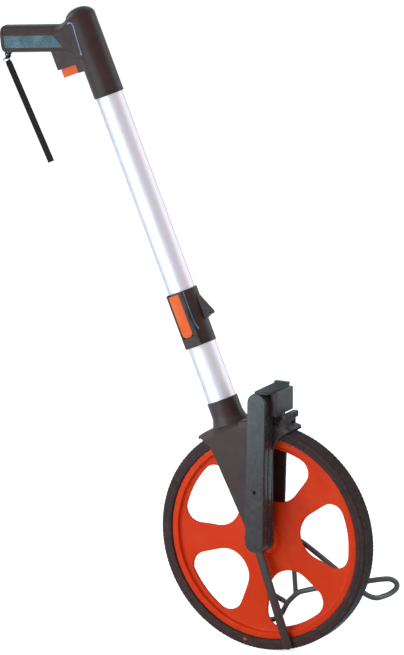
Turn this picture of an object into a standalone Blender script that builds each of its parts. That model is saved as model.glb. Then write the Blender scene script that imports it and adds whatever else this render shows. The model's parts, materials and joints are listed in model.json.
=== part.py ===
"""A hand-pushed measuring wheel: a spoked wheel of one metre round in a fork, a belt-driven
counter, a telescopic tube with a clamp, a pistol grip with a trigger and a strap, and a wire stand.

Metres, +Z up. The wheel's axle lies along Y, the tool rolls towards +X and its tube leans back
towards -X. The pieces are placed from the hub, and the frame empty then sets the whole part down
with the middle of its box's underside at the origin.
"""

import math

import bmesh
import bpy
from mathutils import Matrix, Vector

# Fits shared by all pieces
GAP = 0.0003
OVERRUN = 0.002
OVERLAP = 0.0005

# Facets around a round piece
WHEEL_FACETS = 48
TUBE_FACETS = 32
SMALL_FACETS = 12
ARC_POINTS = 7
SHOULDER_POINTS = 4
CROWN_POINTS = 12
CASING_POINTS = 9
DIGIT_FACETS = 20
FLAT = math.radians(0.1)

# Wheel
ROLLING_LENGTH = 1.0
TYRE_RADIUS = ROLLING_LENGTH / (2 * math.pi)
TYRE_DEPTH = 0.0155
TYRE_WIDTH = 0.027
TYRE_SHOULDER = 0.0032
TYRE_BEAD_BEVEL = 0.0015
RIM_WIDTH = 0.022
RIM_RIB_WIDTH = 0.008
RIM_RIB_HEIGHT = 0.0025
RIM_LIP = 0.0095
RIM_EDGE = 0.0012
WEB_THICKNESS = 0.004
WEB_RIM_PLACE = 0.0055
WEB_DISH = 0.003
WEB_STATIONS = 3
HUB_RADIUS = 0.021
HUB_CHAMFER = 0.0015
HUB_LENGTH = 0.027
HOLE_COUNT = 5
HOLE_PHASE = math.radians(7.4)
HOLE_INNER_RADIUS = 0.0525
HOLE_RIM_MARGIN = 0.0157
HOLE_HALF_ANGLE = math.radians(24.4)
HOLE_OUTER_CORNER = 0.020
HOLE_INNER_CORNER = 0.035
HOLE_RIM_POINTS = 4

# Axle, its bearings and the drive sleeve
AXLE_RADIUS = 0.004
BEARING_RADIUS = 0.011
BEARING_WIDTH = 0.007
BEARING_SEAL_STEP = 0.0005
BEARING_RING = 0.0018
BEARING_SHOULDER = 0.0018
SLEEVE_RADIUS = 0.008
SLEEVE_FLANGE_RADIUS = 0.0145
SLEEVE_FLANGE_THICKNESS = 0.002
SLEEVE_WALL_CLEARANCE = 0.0004
SLEEVE_BORE_CLEARANCE = 0.0004
SLEEVE_HEX_RADIUS = 0.0075
WASHER_RADIUS = 0.009
WASHER_THICKNESS = 0.0004
NUT_RADIUS = 0.0085
NUT_THICKNESS = 0.0062
NUT_WALL = 0.0015

# Fork
TYRE_SIDE_CLEARANCE = 0.001
LEG_THICKNESS = 0.0045
LEG_HUB_RADIUS = 0.0165
LEG_REAR_LEAN = math.radians(27.0)
FAR_LEG_LEAN = math.radians(1.8)
LEG_FLARE_RADIUS = 0.040
LEG_FLARE_FOOT = 0.1196
LEG_FLARE_TURN = math.radians(66)
LEG_FLARE_POINTS = 6
LEG_TOP_INSET = math.radians(0.5)
LEG_HUB_POINTS = 9
LEG_TOP_POINTS = 7
CROWN_CLEARANCE = 0.0043
CROWN_THICKNESS = 0.0042
CROWN_FRONT_ANGLE = math.radians(74.7)
CROWN_REAR_ANGLE = math.radians(127.1)
NECK_RADIUS = 0.022
NECK_FOOT = 0.163
NECK_FLOOR = 0.0087
NECK_TOP = 0.204
NECK_SCREW_PLACE = 0.192
NECK_FLARE_RADIUS = 0.0275
NECK_FLARE_LENGTH = 0.018
PEDESTAL_REAR = 0.002
PEDESTAL_FRONT = 0.020
PEDESTAL_HALF = 0.014

# Tube
TUBE_LEAN = math.radians(23.2)
TUBE_FOOT_X = 0.0087
LOWER_TUBE_RADIUS = 0.0203
LOWER_TUBE_WALL = 0.0008
LOWER_TUBE_TOP = 0.3465
UPPER_TUBE_RADIUS = 0.0192
UPPER_TUBE_WALL = 0.001
UPPER_TUBE_FOOT = 0.279
PLUG_FLANGE = 0.003
PLUG_LENGTH = 0.008

# Clamp on the lower tube
CLAMP_RISE = 0.017
CLAMP_LENGTH = 0.0785
CLAMP_RADIUS = 0.0216
CLAMP_BLOCK_WIDTH = 0.022
CLAMP_BLOCK_FACE = 0.0272
CLAMP_LEVER_WIDTH = 0.0168
CLAMP_LEVER_LENGTH = 0.0635
CLAMP_LEVER_THICKNESS = 0.0048
CLAMP_LEVER_CORNER = 0.006
CLAMP_PIN_INSET = 0.0045
CLAMP_PIN_RADIUS = 0.0012
CLAMP_PAD_WIDTH = 0.010
CLAMP_PAD_HEIGHT = 0.005
FIN_THICKNESS = 0.007
FIN_REACH = 0.0145
FIN_TOP_DROP = 0.006
FIN_TIP_DROP = 0.041
FIN_TIP_RADIUS = 0.003
FIN_UNDERCUT = 0.008
FIN_EYE_RADIUS = 0.0014

# Handle
HEAD_FOOT = 0.652
HEAD_TOP = 0.7802
HEAD_RADIUS = 0.0214
HEAD_BORE_TOP = 0.745
HEAD_HOLLOW_FOOT = 0.762
HEAD_HOLLOW_TOP = 0.773
HEAD_HOLLOW_RADIUS = 0.012
HEAD_SCREW_DEPTH = 0.004
HEAD_DOME_POINTS = 5
HEAD_DOME = 0.014
GRIP_START_X = -0.3257
GRIP_START_Z = 0.671
GRIP_SLOPE = math.radians(6.9)
GRIP_LENGTH = 0.0815
GRIP_HEIGHT = 0.0374
GRIP_WIDTH = 0.030
GRIP_CORNER = 0.011
GRIP_WALL = 0.0025
GRIP_HOLLOW_START = 0.004
COLLAR_SLANT = 0.015
COLLAR_LENGTH = 0.030
COLLAR_TOP = 0.039
COLLAR_FOOT = 0.030
COLLAR_HALF_WIDTH = 0.0175
COLLAR_CORNER = 0.012
GRIP_CAP_LENGTH = 0.0056
GRIP_CAP_BEVEL = 0.003
CAP_PLUG_LENGTH = 0.004
HANDLE_SCREW_SHARES = (0.28, 0.80)
HANDLE_SCREW_DEPTH = 0.009
PANEL_HEIGHT = 0.0172
PANEL_DROP = 0.002
PANEL_THICKNESS = 0.0014
PANEL_INSET = 0.001
PANEL_START = -0.0117
PANEL_END_SLANT = 0.0135
PANEL_END_MARGIN = 0.001
GUARD_REAR = 0.0585
GUARD_FOOT = 0.7068
GUARD_TOP = 0.740
GUARD_STRIP_FOOT = 0.694
GUARD_SINK = 0.002
GUARD_HALF_WIDTH = 0.0105
TRIGGER_REAR = 0.055
TRIGGER_FRONT = 0.0285
TRIGGER_FOOT = 0.6945
TRIGGER_HALF_WIDTH = 0.0075
TRIGGER_TRAVEL = 0.008
TRIGGER_TOP = 0.716
TRIGGER_CEILING_PLAY = 0.0018
TRIGGER_SIDE_PLAY = 0.0003
TRIGGER_EDGE = 0.0012
TRIGGER_SPRING_SEAT = 0.006
TRIGGER_SPRING_TURNS = 6
TRIGGER_SPRING_RADIUS = 0.0042
TRIGGER_SPRING_WIRE = 0.0005
SPRING_TURN_POINTS = 9

# Strap
RING_RADIUS = 0.0052
RING_WIRE = 0.0011
STRAP_WIDTH = 0.0125
STRAP_THICKNESS = 0.0026
STRAP_LENGTH = 0.1555
STRAP_LEAN = math.radians(26.5)
STRAP_NECK_LEAN = math.radians(-15)
STRAP_PIN_RADIUS = 0.001
STRAP_PIN_REACH = 0.003
STRAP_PIN_Z = 0.0214
STRAP_CHEEK = 0.002
STRAP_NECK_WIDTH = 0.006
STRAP_NECK_THICKNESS = 0.0038
STRAP_RING_PLACE = 0.007
STRAP_SPREAD_LENGTH = 0.006
CHEEK_MARGIN = 0.0026
CHEEK_SINK = 0.0035
RING_POINTS = 16

# Drive casing
CASING_RADIUS = 0.0145
CASING_TOP_X = 0.004
CASING_TOP_Z = 0.1985
CASING_FACE = 0.042
CASING_SPLIT = 0.031
CASING_WALL = 0.002
CASING_EDGE = 0.0018
CASING_SCREW_SHARE = 0.363
LEG_SCREW_SHARES = (0.16, 0.70)
SCREW_POST_RADIUS = 0.0036
SCREW_RADIUS = 0.0014
SCREW_HEAD_RADIUS = 0.0026
SCREW_HEAD_HEIGHT = 0.0016
SCREW_HEAD_DEPTH = 0.001
SCREW_THREAD = 0.006
BOSS_WALL = 0.0025
BOSS_CLEARANCE = 0.0004

# Belt drive
PULLEY_RADIUS = 0.0095
PULLEY_TOOTH_DEPTH = 0.0009
PULLEY_TEETH = 16
PULLEY_TOOTH_SHARE = 0.55
PULLEY_FLANGE = 0.0022
PULLEY_FLANGE_THICKNESS = 0.001
BELT_WIDTH = 0.006
BELT_THICKNESS = 0.0014
BELT_SIDE_PLAY = 0.0005
PULLEY_FACE_PLACE = 0.0362

# Counter
COUNTER_SHAFT_RADIUS = 0.0028
COUNTER_FRONT = 0.0278
COUNTER_REAR = -0.0185
COUNTER_TOP = 0.213
COUNTER_FOOT = 0.180
COUNTER_SLANT = 0.0165
COUNTER_FAR_SIDE = 0.0227
COUNTER_NEAR_SIDE = 0.0285
COUNTER_WALL = 0.002
COUNTER_EDGE = 0.001
COUNTER_SCREW_PLACE = 0.009
COUNTER_SCREW_LENGTH = 0.008
DIGIT_COUNT = 5
DIGIT_RADIUS = 0.0102
DIGIT_WIDTH = 0.0056
DIGIT_PITCH = 0.0062
WINDOW_WIDTH = 0.0105
WINDOW_MARGIN = 0.0012
WINDOW_SHIFT = 0.003
WINDOW_THICKNESS = 0.0012
VISOR_REAR = 0.002
VISOR_FRONT = 0.023
VISOR_NEAR_SIDE = 0.044
VISOR_FAR_SIDE = 0.0216
VISOR_THICKNESS = 0.0036
VISOR_RIB_WIDTH = 0.0075
VISOR_RIB_HEIGHT = 0.0018
VISOR_EDGE = 0.0008
VISOR_PEG_RADIUS = 0.002
CARRY_SHAFT_RADIUS = 0.0012
CARRY_PINION_RADIUS = 0.0029
CARRY_PINION_TEETH = 8
CARRY_PINION_HALF = 0.0012
CARRY_ROOT_SHARE = 0.72
CARRY_ANGLE = math.radians(-45)
CARRY_SEAT = 0.001
CARRY_BOSS_WALL = 0.0018

# Reset lever
RESET_AXIS_X = 0.0305
RESET_AXIS_Z = 0.1700
RESET_BARREL_RADIUS = 0.0045
RESET_BARREL_HALF = 0.0117
RESET_PIN_RADIUS = 0.0014
RESET_BAR_X = 0.0345
RESET_BAR_Z = 0.1765
RESET_BAR_DEPTH = 0.0070
RESET_BAR_HEIGHT = 0.0085
RESET_BAR_NEAR = 0.019
RESET_BAR_FAR = 0.0175
RESET_RIBS = 9
RESET_RIB_HEIGHT = 0.0009
RESET_RIB_SHARE = 0.5
LUG_THICKNESS = 0.0045
LUG_RADIUS = 0.0048
LUG_DROP = 0.00155

# Pointer arm
POINTER_THICKNESS = 0.0024
POINTER_START_X = -0.0065
POINTER_START_Z = -0.0115
POINTER_END_X = 0.0405
POINTER_END_Z = -0.1465
POINTER_START_WIDTH = 0.0122
POINTER_END_WIDTH = 0.0134

# Stand
STAND_WIRE = 0.0034
STAND_HUB_RADIUS = 0.0095
STAND_HUB_LENGTH = 0.0098
STAND_PLANE = 0.0312
STAND_REACH = 0.160
STAND_ROUTE_STEPS = 2
STAND_ROUTE_SHARES = (
    (0.225, 0.000, -0.023),
    (0.554, 0.000, -0.251),
    (0.750, 0.000, -0.392),
    (0.856, 0.019, -0.466),
    (0.916, 0.069, -0.497),
    (0.944, 0.150, -0.500),
    (0.969, 0.237, -0.491),
    (0.994, 0.300, -0.459),
    (0.991, 0.312, -0.413),
    (0.956, 0.275, -0.375),
    (0.894, 0.219, -0.369),
    (0.756, 0.144, -0.391),
    (0.562, 0.069, -0.428),
    (0.366, 0.019, -0.470),
    (0.270, 0.000, -0.497),
    (0.195, 0.000, -0.527),
    (0.126, 0.000, -0.590),
    (0.085, 0.000, -0.640),
    (0.032, 0.000, -0.737),
    (-0.020, 0.000, -0.785),
    (-0.085, 0.000, -0.806),
    (-0.162, 0.000, -0.811),
    (-0.246, 0.000, -0.775),
    (-0.278, 0.000, -0.690),
    (-0.240, 0.000, -0.603),
    (-0.152, 0.000, -0.552),
    (-0.050, 0.000, -0.576),
    (0.052, 0.000, -0.615),
)
STAND_BRACE_SHARES = (((0.132, -0.012), (0.172, -0.540)), ((0.052, -0.615), (0.092, -0.632)))

# Finishes: colour, roughness, metallic
ORANGE = ((0.716, 0.062, 0.020), 0.34, 0.0)
ORANGE_LIGHT = ((0.860, 0.130, 0.050), 0.40, 0.0)
BLACK_PLASTIC = ((0.030, 0.028, 0.028), 0.42, 0.0)
GREY_PLASTIC = ((0.075, 0.078, 0.080), 0.50, 0.0)
RUBBER = ((0.018, 0.017, 0.017), 0.75, 0.0)
ANODISED = ((0.840, 0.850, 0.870), 0.30, 0.9)
STEEL = ((0.560, 0.570, 0.580), 0.32, 1.0)
CLEAR = ((0.850, 0.880, 0.900), 0.08, 0.0)
WHITE_PLASTIC = ((0.800, 0.790, 0.760), 0.45, 0.0)
WEBBING = ((0.022, 0.020, 0.020), 0.85, 0.0)

# Places that follow from the sizes above
RIM_RADIUS = TYRE_RADIUS - TYRE_DEPTH
HUB_HALF = HUB_LENGTH / 2
LEG_INNER = TYRE_WIDTH / 2 + TYRE_SIDE_CLEARANCE
LEG_OUTER = LEG_INNER + LEG_THICKNESS
CLAMP_TOP = LOWER_TUBE_TOP + CLAMP_RISE
CLAMP_FOOT = CLAMP_TOP - CLAMP_LENGTH
STRAP_PIN_X = GRIP_LENGTH + STRAP_PIN_REACH
CROWN_INNER = TYRE_RADIUS + CROWN_CLEARANCE
CROWN_OUTER = CROWN_INNER + CROWN_THICKNESS
CASING_BACK = LEG_OUTER + GAP
POINTER_BACK = LEG_OUTER - POINTER_THICKNESS
TUBE_FLOOR = NECK_FOOT + NECK_FLOOR
STAND_NUT_SEAT = STAND_PLANE + STAND_HUB_LENGTH / 2 + GAP
TRIGGER_CEILING = TRIGGER_TOP + TRIGGER_TRAVEL + TRIGGER_CEILING_PLAY
PULLEY_BACK_PLACE = PULLEY_FACE_PLACE - BELT_WIDTH - 2 * (BELT_SIDE_PLAY + PULLEY_FLANGE_THICKNESS)
BELT_INNER = PULLEY_RADIUS + GAP
WELD = 1e-6

HUB = Matrix.Identity(4)
TUBE = Matrix.Translation((TUBE_FOOT_X, 0, 0)) @ Matrix.Rotation(-TUBE_LEAN, 4, "Y")
GRIP = Matrix.Translation((GRIP_START_X, 0, GRIP_START_Z)) @ Matrix.Rotation(math.pi - GRIP_SLOPE, 4, "Y")
TURN_TO_Y = Matrix.Rotation(-math.pi / 2, 4, "X")
XZ_TO_OUTLINE = Matrix.Rotation(math.pi / 2, 4, "X")

PLACES = {}


def clear_scene():
    for old in list(bpy.data.objects):
        bpy.data.objects.remove(old, do_unlink=True)


def new_collection(name, hidden=False):
    made = bpy.data.collections.new(name)
    made.hide_render = hidden
    bpy.context.scene.collection.children.link(made)
    return made


def new_material(name, finish):
    colour, roughness, metallic = finish
    made = bpy.data.materials.new(name)
    made.use_nodes = True
    shader = made.node_tree.nodes["Principled BSDF"]
    shader.inputs["Base Color"].default_value = (*colour, 1.0)
    shader.inputs["Roughness"].default_value = roughness
    shader.inputs["Metallic"].default_value = metallic
    return made


def taken_mesh(holder, place=HUB):
    """The mesh that the holder's curve or modifiers make, welded and facing outward; the holder goes."""
    bpy.context.scene.collection.objects.link(holder)
    bpy.context.view_layer.update()
    graph = bpy.context.evaluated_depsgraph_get()
    mesh = bpy.data.meshes.new_from_object(holder.evaluated_get(graph), depsgraph=graph)
    mesh.materials.clear()
    bpy.data.objects.remove(holder)
    shape = bmesh.new()
    shape.from_mesh(mesh)
    bmesh.ops.remove_doubles(shape, verts=shape.verts, dist=WELD)
    bmesh.ops.transform(shape, matrix=place, verts=shape.verts)
    bmesh.ops.recalc_face_normals(shape, faces=shape.faces)
    shape.to_mesh(mesh)
    shape.free()
    return mesh


def prism(outline, low, high):
    """An outline in the XZ plane, given thickness along Y."""
    curve = bpy.data.curves.new("outline", "CURVE")
    curve.dimensions = "2D"
    curve.fill_mode = "BOTH"
    curve.extrude = (high - low) / 2
    spline = curve.splines.new("POLY")
    spline.points.add(len(outline) - 1)
    for point, (x, z) in zip(spline.points, outline):
        point.co = (x, z, 0, 1)
    spline.use_cyclic_u = True
    middle = Matrix.Translation((0, (low + high) / 2, 0))
    mesh = taken_mesh(bpy.data.objects.new("outline", curve), middle @ XZ_TO_OUTLINE)
    shape = bmesh.new()
    shape.from_mesh(mesh)
    bmesh.ops.dissolve_limit(shape, angle_limit=FLAT, verts=shape.verts, edges=shape.edges)
    shape.to_mesh(mesh)
    shape.free()
    return mesh


def turned(profile, facets, place=HUB):
    """A profile of (radius, height) points turned about Z; a loop unless it starts on the axis."""
    count = len(profile)
    edges = [(index, index + 1) for index in range(count - 1)]
    if profile[0][0] > 0:
        edges.append((count - 1, 0))
    mesh = bpy.data.meshes.new("profile")
    mesh.from_pydata([(radius, 0, height) for radius, height in profile], edges, [])
    holder = bpy.data.objects.new("profile", mesh)
    screw = holder.modifiers.new("turn", "SCREW")
    screw.steps = facets
    screw.render_steps = facets
    screw.use_merge_vertices = True
    screw.merge_threshold = WELD
    return taken_mesh(holder, place)


def wire(points, radius, resolution=2, closed=False):
    curve = bpy.data.curves.new("wire", "CURVE")
    curve.dimensions = "3D"
    curve.bevel_depth = radius
    curve.bevel_resolution = resolution
    curve.use_fill_caps = True
    spline = curve.splines.new("POLY")
    spline.points.add(len(points) - 1)
    for point, place in zip(spline.points, points):
        point.co = (*place, 1)
    spline.use_cyclic_u = closed
    return taken_mesh(bpy.data.objects.new("wire", curve))


def rod(start, end, radius, facets=SMALL_FACETS, end_radius=None):
    """A round bar, or a cone, from one point to another."""
    start, end = Vector(start), Vector(end)
    along = end - start
    place = Matrix.Translation((start + end) / 2) @ along.to_track_quat("Z", "Y").to_matrix().to_4x4()
    shape = bmesh.new()
    bmesh.ops.create_cone(
        shape,
        cap_ends=True,
        segments=facets,
        radius1=radius,
        radius2=radius if end_radius is None else end_radius,
        depth=along.length,
        matrix=place,
    )
    mesh = bpy.data.meshes.new("rod")
    shape.to_mesh(mesh)
    shape.free()
    return mesh


def box(low, high):
    low, high = Vector(low), Vector(high)
    size = Matrix.Diagonal((*(high - low), 1))
    shape = bmesh.new()
    bmesh.ops.create_cube(shape, size=1, matrix=Matrix.Translation((low + high) / 2) @ size)
    mesh = bpy.data.meshes.new("box")
    shape.to_mesh(mesh)
    shape.free()
    return mesh


def merged(*meshes):
    """Separate solids in one mesh."""
    shape = bmesh.new()
    for mesh in meshes:
        shape.from_mesh(mesh)
    joined = bpy.data.meshes.new("group")
    shape.to_mesh(joined)
    shape.free()
    return joined


def piece(name, mesh, finish, place=HUB, sharp=math.radians(35)):
    """A named sub-part; its mesh is in the coordinates of its place, which is measured from the hub."""
    made = bpy.data.objects.new(name, mesh)
    PARTS.objects.link(made)
    made.parent = FRAME
    made.matrix_local = place
    made.data.materials.append(MATERIALS[finish])
    made.data.shade_smooth()
    made.data.set_sharp_from_angle(angle=sharp)
    PLACES[name] = place
    return made


def shape_with(target, mesh, operation, place=None):
    """A Boolean of the target with a mesh, which is in the target's own coordinates or in a place's."""
    helper = bpy.data.objects.new(f"{target.name}_{operation.lower()}_{len(target.modifiers)}", mesh)
    HELPERS.objects.link(helper)
    helper.parent = FRAME
    helper.matrix_local = PLACES[target.name] if place is None else place
    helper.display_type = "WIRE"
    helper.hide_render = True
    boolean = target.modifiers.new(helper.name, "BOOLEAN")
    boolean.operation = operation
    boolean.object = helper
    boolean.solver = "EXACT"


def cut(target, mesh, place=None):
    shape_with(target, mesh, "DIFFERENCE", place)


def join(target, mesh, place=None):
    shape_with(target, mesh, "UNION", place)


def keep(target, mesh, place=None):
    shape_with(target, mesh, "INTERSECT", place)


def bevel(target, width, segments=1, angle=math.radians(50)):
    rounded = target.modifiers.new("rounded_edges", "BEVEL")
    rounded.width = width
    rounded.segments = segments
    rounded.limit_method = "ANGLE"
    rounded.angle_limit = angle


def arc(centre, radius, start, end, points=ARC_POINTS):
    """Points on an arc in an XZ or (radius, height) plane, angles from the first axis to the second."""
    steps = [start + (end - start) * index / (points - 1) for index in range(points)]
    return [(centre[0] + radius * math.cos(turn), centre[1] + radius * math.sin(turn)) for turn in steps]


def stadium(first, second, radius, points=ARC_POINTS):
    """The outline round two equal circles."""
    turn = math.atan2(second[1] - first[1], second[0] - first[0])
    quarter = math.pi / 2
    return arc(second, radius, turn - quarter, turn + quarter, points) + arc(
        first, radius, turn + quarter, turn + 3 * quarter, points
    )


def around_y(radius, low, high, facets=SMALL_FACETS, x=0, z=0):
    """A cylinder along Y."""
    return rod((x, low, z), (x, high, z), radius, facets)


def spine(share):
    """A point on the casing's centre line, from the hub up to the counter's shaft."""
    return share * CASING_TOP_X, share * CASING_TOP_Z


def hexagon(radius, low, high):
    return rod((0, low, 0), (0, high, 0), radius, 6)


# Wheel

def web_place(radius):
    """How far the near face of the web stands from the wheel's middle plane at a radius."""
    reach = (radius - HUB_RADIUS) / (RIM_RADIUS - RIM_LIP - HUB_RADIUS)
    return WEB_RIM_PLACE - WEB_DISH * math.sin(math.pi * reach)


def disc_profile():
    pocket = BEARING_RADIUS + GAP
    shoulder = pocket - BEARING_SHOULDER
    near_pocket = -HUB_HALF + SLEEVE_FLANGE_THICKNESS + BEARING_WIDTH + 3 * GAP
    far_pocket = HUB_HALF - BEARING_WIDTH - GAP
    lip = RIM_RADIUS - RIM_LIP
    half_rim = RIM_WIDTH / 2
    half_rib = RIM_RIB_WIDTH / 2
    rib_top = RIM_RADIUS + RIM_RIB_HEIGHT
    web_start = HUB_RADIUS + HUB_CHAMFER
    web = [web_start + (lip - web_start) * step / WEB_STATIONS for step in range(WEB_STATIONS + 1)]
    near = [(radius, -web_place(radius)) for radius in web]
    far = [(radius, WEB_THICKNESS - web_place(radius)) for radius in reversed(web)]
    return (
        [(shoulder, near_pocket), (pocket, near_pocket), (pocket, -HUB_HALF)]
        + [(HUB_RADIUS - HUB_CHAMFER, -HUB_HALF), (HUB_RADIUS, HUB_CHAMFER - HUB_HALF)]
        + near
        + [(lip + RIM_EDGE, -half_rim), (RIM_RADIUS - RIM_EDGE, -half_rim), (RIM_RADIUS, RIM_EDGE - half_rim)]
        + [(RIM_RADIUS, -half_rib), (rib_top, -half_rib), (rib_top, half_rib), (RIM_RADIUS, half_rib)]
        + [(RIM_RADIUS, half_rim - RIM_EDGE), (RIM_RADIUS - RIM_EDGE, half_rim), (lip + RIM_EDGE, half_rim)]
        + far
        + [(HUB_RADIUS, HUB_HALF - HUB_CHAMFER), (HUB_RADIUS - HUB_CHAMFER, HUB_HALF)]
        + [(pocket, HUB_HALF), (pocket, far_pocket), (shoulder, far_pocket)]
    )


def hole_outline(phase):
    """A rounded triangle between two spokes: an arc along the rim, two corners and a narrow end."""
    outer = RIM_RADIUS - HOLE_RIM_MARGIN
    corner_centre = outer - HOLE_OUTER_CORNER
    corner_turn = HOLE_HALF_ANGLE - math.asin(HOLE_OUTER_CORNER / corner_centre)
    corner = (corner_centre * math.cos(corner_turn), corner_centre * math.sin(corner_turn))
    narrow = (HOLE_INNER_RADIUS + HOLE_INNER_CORNER, 0)
    apart = math.hypot(corner[0] - narrow[0], corner[1])
    heading = math.atan2(corner[1], corner[0] - narrow[0])
    side = heading + math.acos((HOLE_INNER_CORNER - HOLE_OUTER_CORNER) / apart)
    half = arc((0, 0), outer, 0, corner_turn, HOLE_RIM_POINTS)[:-1]
    half += arc(corner, HOLE_OUTER_CORNER, corner_turn, side)
    half += arc(narrow, HOLE_INNER_CORNER, side, math.pi)
    whole = half + [(x, -z) for x, z in reversed(half[1:-1])]
    turn = (math.cos(phase), math.sin(phase))
    return [(x * turn[0] - z * turn[1], x * turn[1] + z * turn[0]) for x, z in whole]


def make_wheel():
    disc = piece("wheel_disc", turned(disc_profile(), WHEEL_FACETS, TURN_TO_Y), "orange")
    for index in range(HOLE_COUNT):
        outline = hole_outline(HOLE_PHASE + index * 2 * math.pi / HOLE_COUNT)
        cut(disc, prism(outline, -HUB_HALF, HUB_HALF))
    flange_floor = -HUB_HALF + SLEEVE_FLANGE_THICKNESS + 2 * GAP
    cut(disc, hexagon(SLEEVE_FLANGE_RADIUS + GAP / math.cos(math.pi / 6), -HUB_HALF - OVERRUN, flange_floor))

    half = TYRE_WIDTH / 2
    seat = RIM_RADIUS + GAP
    groove = seat + RIM_RIB_HEIGHT
    half_groove = RIM_RIB_WIDTH / 2 + GAP
    bead = RIM_WIDTH / 2
    shoulder = TYRE_RADIUS - TYRE_SHOULDER
    flat = half - TYRE_SHOULDER
    quarter = math.pi / 2
    tread = arc((shoulder, -flat), TYRE_SHOULDER, -quarter, 0, SHOULDER_POINTS)
    tread += arc((shoulder, flat), TYRE_SHOULDER, 0, quarter, SHOULDER_POINTS)
    foot = [(seat + TYRE_BEAD_BEVEL, half), (seat, bead), (seat, half_groove), (groove, half_groove)]
    profile = tread + foot + [(radius, -place) for radius, place in reversed(foot)]
    piece("tyre", turned(profile, WHEEL_FACETS, TURN_TO_Y), "rubber")

    near_start = -HUB_HALF + SLEEVE_FLANGE_THICKNESS + 2 * GAP
    far_start = HUB_HALF - BEARING_WIDTH
    for name, start in (("near_bearing", near_start), ("far_bearing", far_start)):
        place = Matrix.Translation((0, start, 0)) @ TURN_TO_Y
        piece(name, turned(bearing_profile(), SMALL_FACETS, place), "steel")


def bearing_profile():
    """A shielded ball bearing, outer and inner ring in one, with its shields let in on both faces."""
    bore = AXLE_RADIUS + GAP
    inner_ring = bore + BEARING_RING
    outer_ring = BEARING_RADIUS - BEARING_RING
    top = BEARING_WIDTH
    step = BEARING_SEAL_STEP
    return [
        (bore, 0),
        (inner_ring, 0),
        (inner_ring, step),
        (outer_ring, step),
        (outer_ring, 0),
        (BEARING_RADIUS, 0),
        (BEARING_RADIUS, top),
        (outer_ring, top),
        (outer_ring, top - step),
        (inner_ring, top - step),
        (inner_ring, top),
        (bore, top),
    ]


def make_drive_sleeve():
    """The hexagon on the hub, a round neck through the fork leg and a hexagon for the pulley."""
    flange_foot = -HUB_HALF + SLEEVE_FLANGE_THICKNESS + GAP
    round_end = -(CASING_BACK + CASING_WALL + GAP)
    sleeve = piece("drive_sleeve", hexagon(SLEEVE_FLANGE_RADIUS, -HUB_HALF + GAP, flange_foot), "grey")
    join(sleeve, around_y(SLEEVE_RADIUS, round_end, flange_foot - OVERLAP))
    join(sleeve, hexagon(SLEEVE_HEX_RADIUS, -PULLEY_FACE_PLACE, round_end + OVERLAP))
    cut(sleeve, around_y(AXLE_RADIUS + SLEEVE_BORE_CLEARANCE, -PULLEY_FACE_PLACE - OVERRUN, 0))


def make_axle():
    near_end = -(CASING_FACE - CASING_WALL - GAP)
    piece("axle", around_y(AXLE_RADIUS, near_end, STAND_NUT_SEAT + NUT_THICKNESS - NUT_WALL), "steel")
    washer_place = Matrix.Translation((0, HUB_HALF + GAP, 0)) @ TURN_TO_Y
    washer = ring_profile(AXLE_RADIUS + GAP, WASHER_RADIUS, WASHER_THICKNESS)
    piece("thrust_washer", turned(washer, SMALL_FACETS, washer_place), "steel")
    nut = piece("axle_nut", hexagon(NUT_RADIUS, LEG_OUTER + GAP, LEG_OUTER + GAP + NUT_THICKNESS), "steel")
    cut(nut, around_y(AXLE_RADIUS + GAP, LEG_OUTER - OVERRUN, LEG_OUTER + NUT_THICKNESS + OVERRUN))
    cap = piece("stand_nut", hexagon(NUT_RADIUS, STAND_NUT_SEAT, STAND_NUT_SEAT + NUT_THICKNESS), "steel")
    bore_end = STAND_NUT_SEAT + NUT_THICKNESS - NUT_WALL + GAP
    cut(cap, around_y(AXLE_RADIUS + GAP, STAND_NUT_SEAT - OVERRUN, bore_end))


def ring_profile(inner, outer, height):
    return [(inner, 0), (outer, 0), (outer, height), (inner, height)]


# Fork

def leg_outline(front_lean=0.0):
    """A leg that hugs the hub; its rear edge leans with the crown and its front edge flares into it."""
    middle = (CROWN_INNER + CROWN_OUTER) / 2
    reach = math.acos(LEG_HUB_RADIUS / middle)
    rear = math.pi + LEG_REAR_LEAN
    edge_x = (LEG_HUB_RADIUS + LEG_FLARE_FOOT * math.sin(front_lean)) / math.cos(front_lean)
    flare_centre = (edge_x + LEG_FLARE_RADIUS, LEG_FLARE_FOOT)
    flare_end = math.pi - LEG_FLARE_TURN
    round_hub = arc((0, 0), LEG_HUB_RADIUS, rear, 2 * math.pi - front_lean, LEG_HUB_POINTS)
    flare = arc(flare_centre, LEG_FLARE_RADIUS, math.pi, flare_end, LEG_FLARE_POINTS)
    front = CROWN_FRONT_ANGLE + LEG_TOP_INSET
    return round_hub + flare + arc((0, 0), middle, front, rear - reach, LEG_TOP_POINTS)


def crown_outline():
    return arc((0, 0), CROWN_OUTER, CROWN_FRONT_ANGLE, CROWN_REAR_ANGLE, CROWN_POINTS) + arc(
        (0, 0), CROWN_INNER - OVERLAP, CROWN_REAR_ANGLE, CROWN_FRONT_ANGLE, CROWN_POINTS
    )


def lug_outline():
    """A round-topped lug that rises from the crown to the reset lever's pin."""
    top = arc((RESET_AXIS_X, RESET_AXIS_Z), LUG_RADIUS, 0, math.pi)
    foot = CROWN_INNER - LUG_DROP
    return top + [(RESET_AXIS_X - LUG_RADIUS, foot), (RESET_AXIS_X + LUG_RADIUS, foot)]


def pointer_outline(margin=0.0):
    """A tapering arm with round ends, grown by a margin."""
    start = Vector((POINTER_START_X, POINTER_START_Z))
    end = Vector((POINTER_END_X, POINTER_END_Z))
    heading = math.atan2(end.y - start.y, end.x - start.x)
    quarter = math.pi / 2
    wide = POINTER_END_WIDTH / 2 + margin
    slim = POINTER_START_WIDTH / 2 + margin
    return arc(end, wide, heading - quarter, heading + quarter) + arc(
        start, slim, heading + quarter, heading + 3 * quarter
    )


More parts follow.
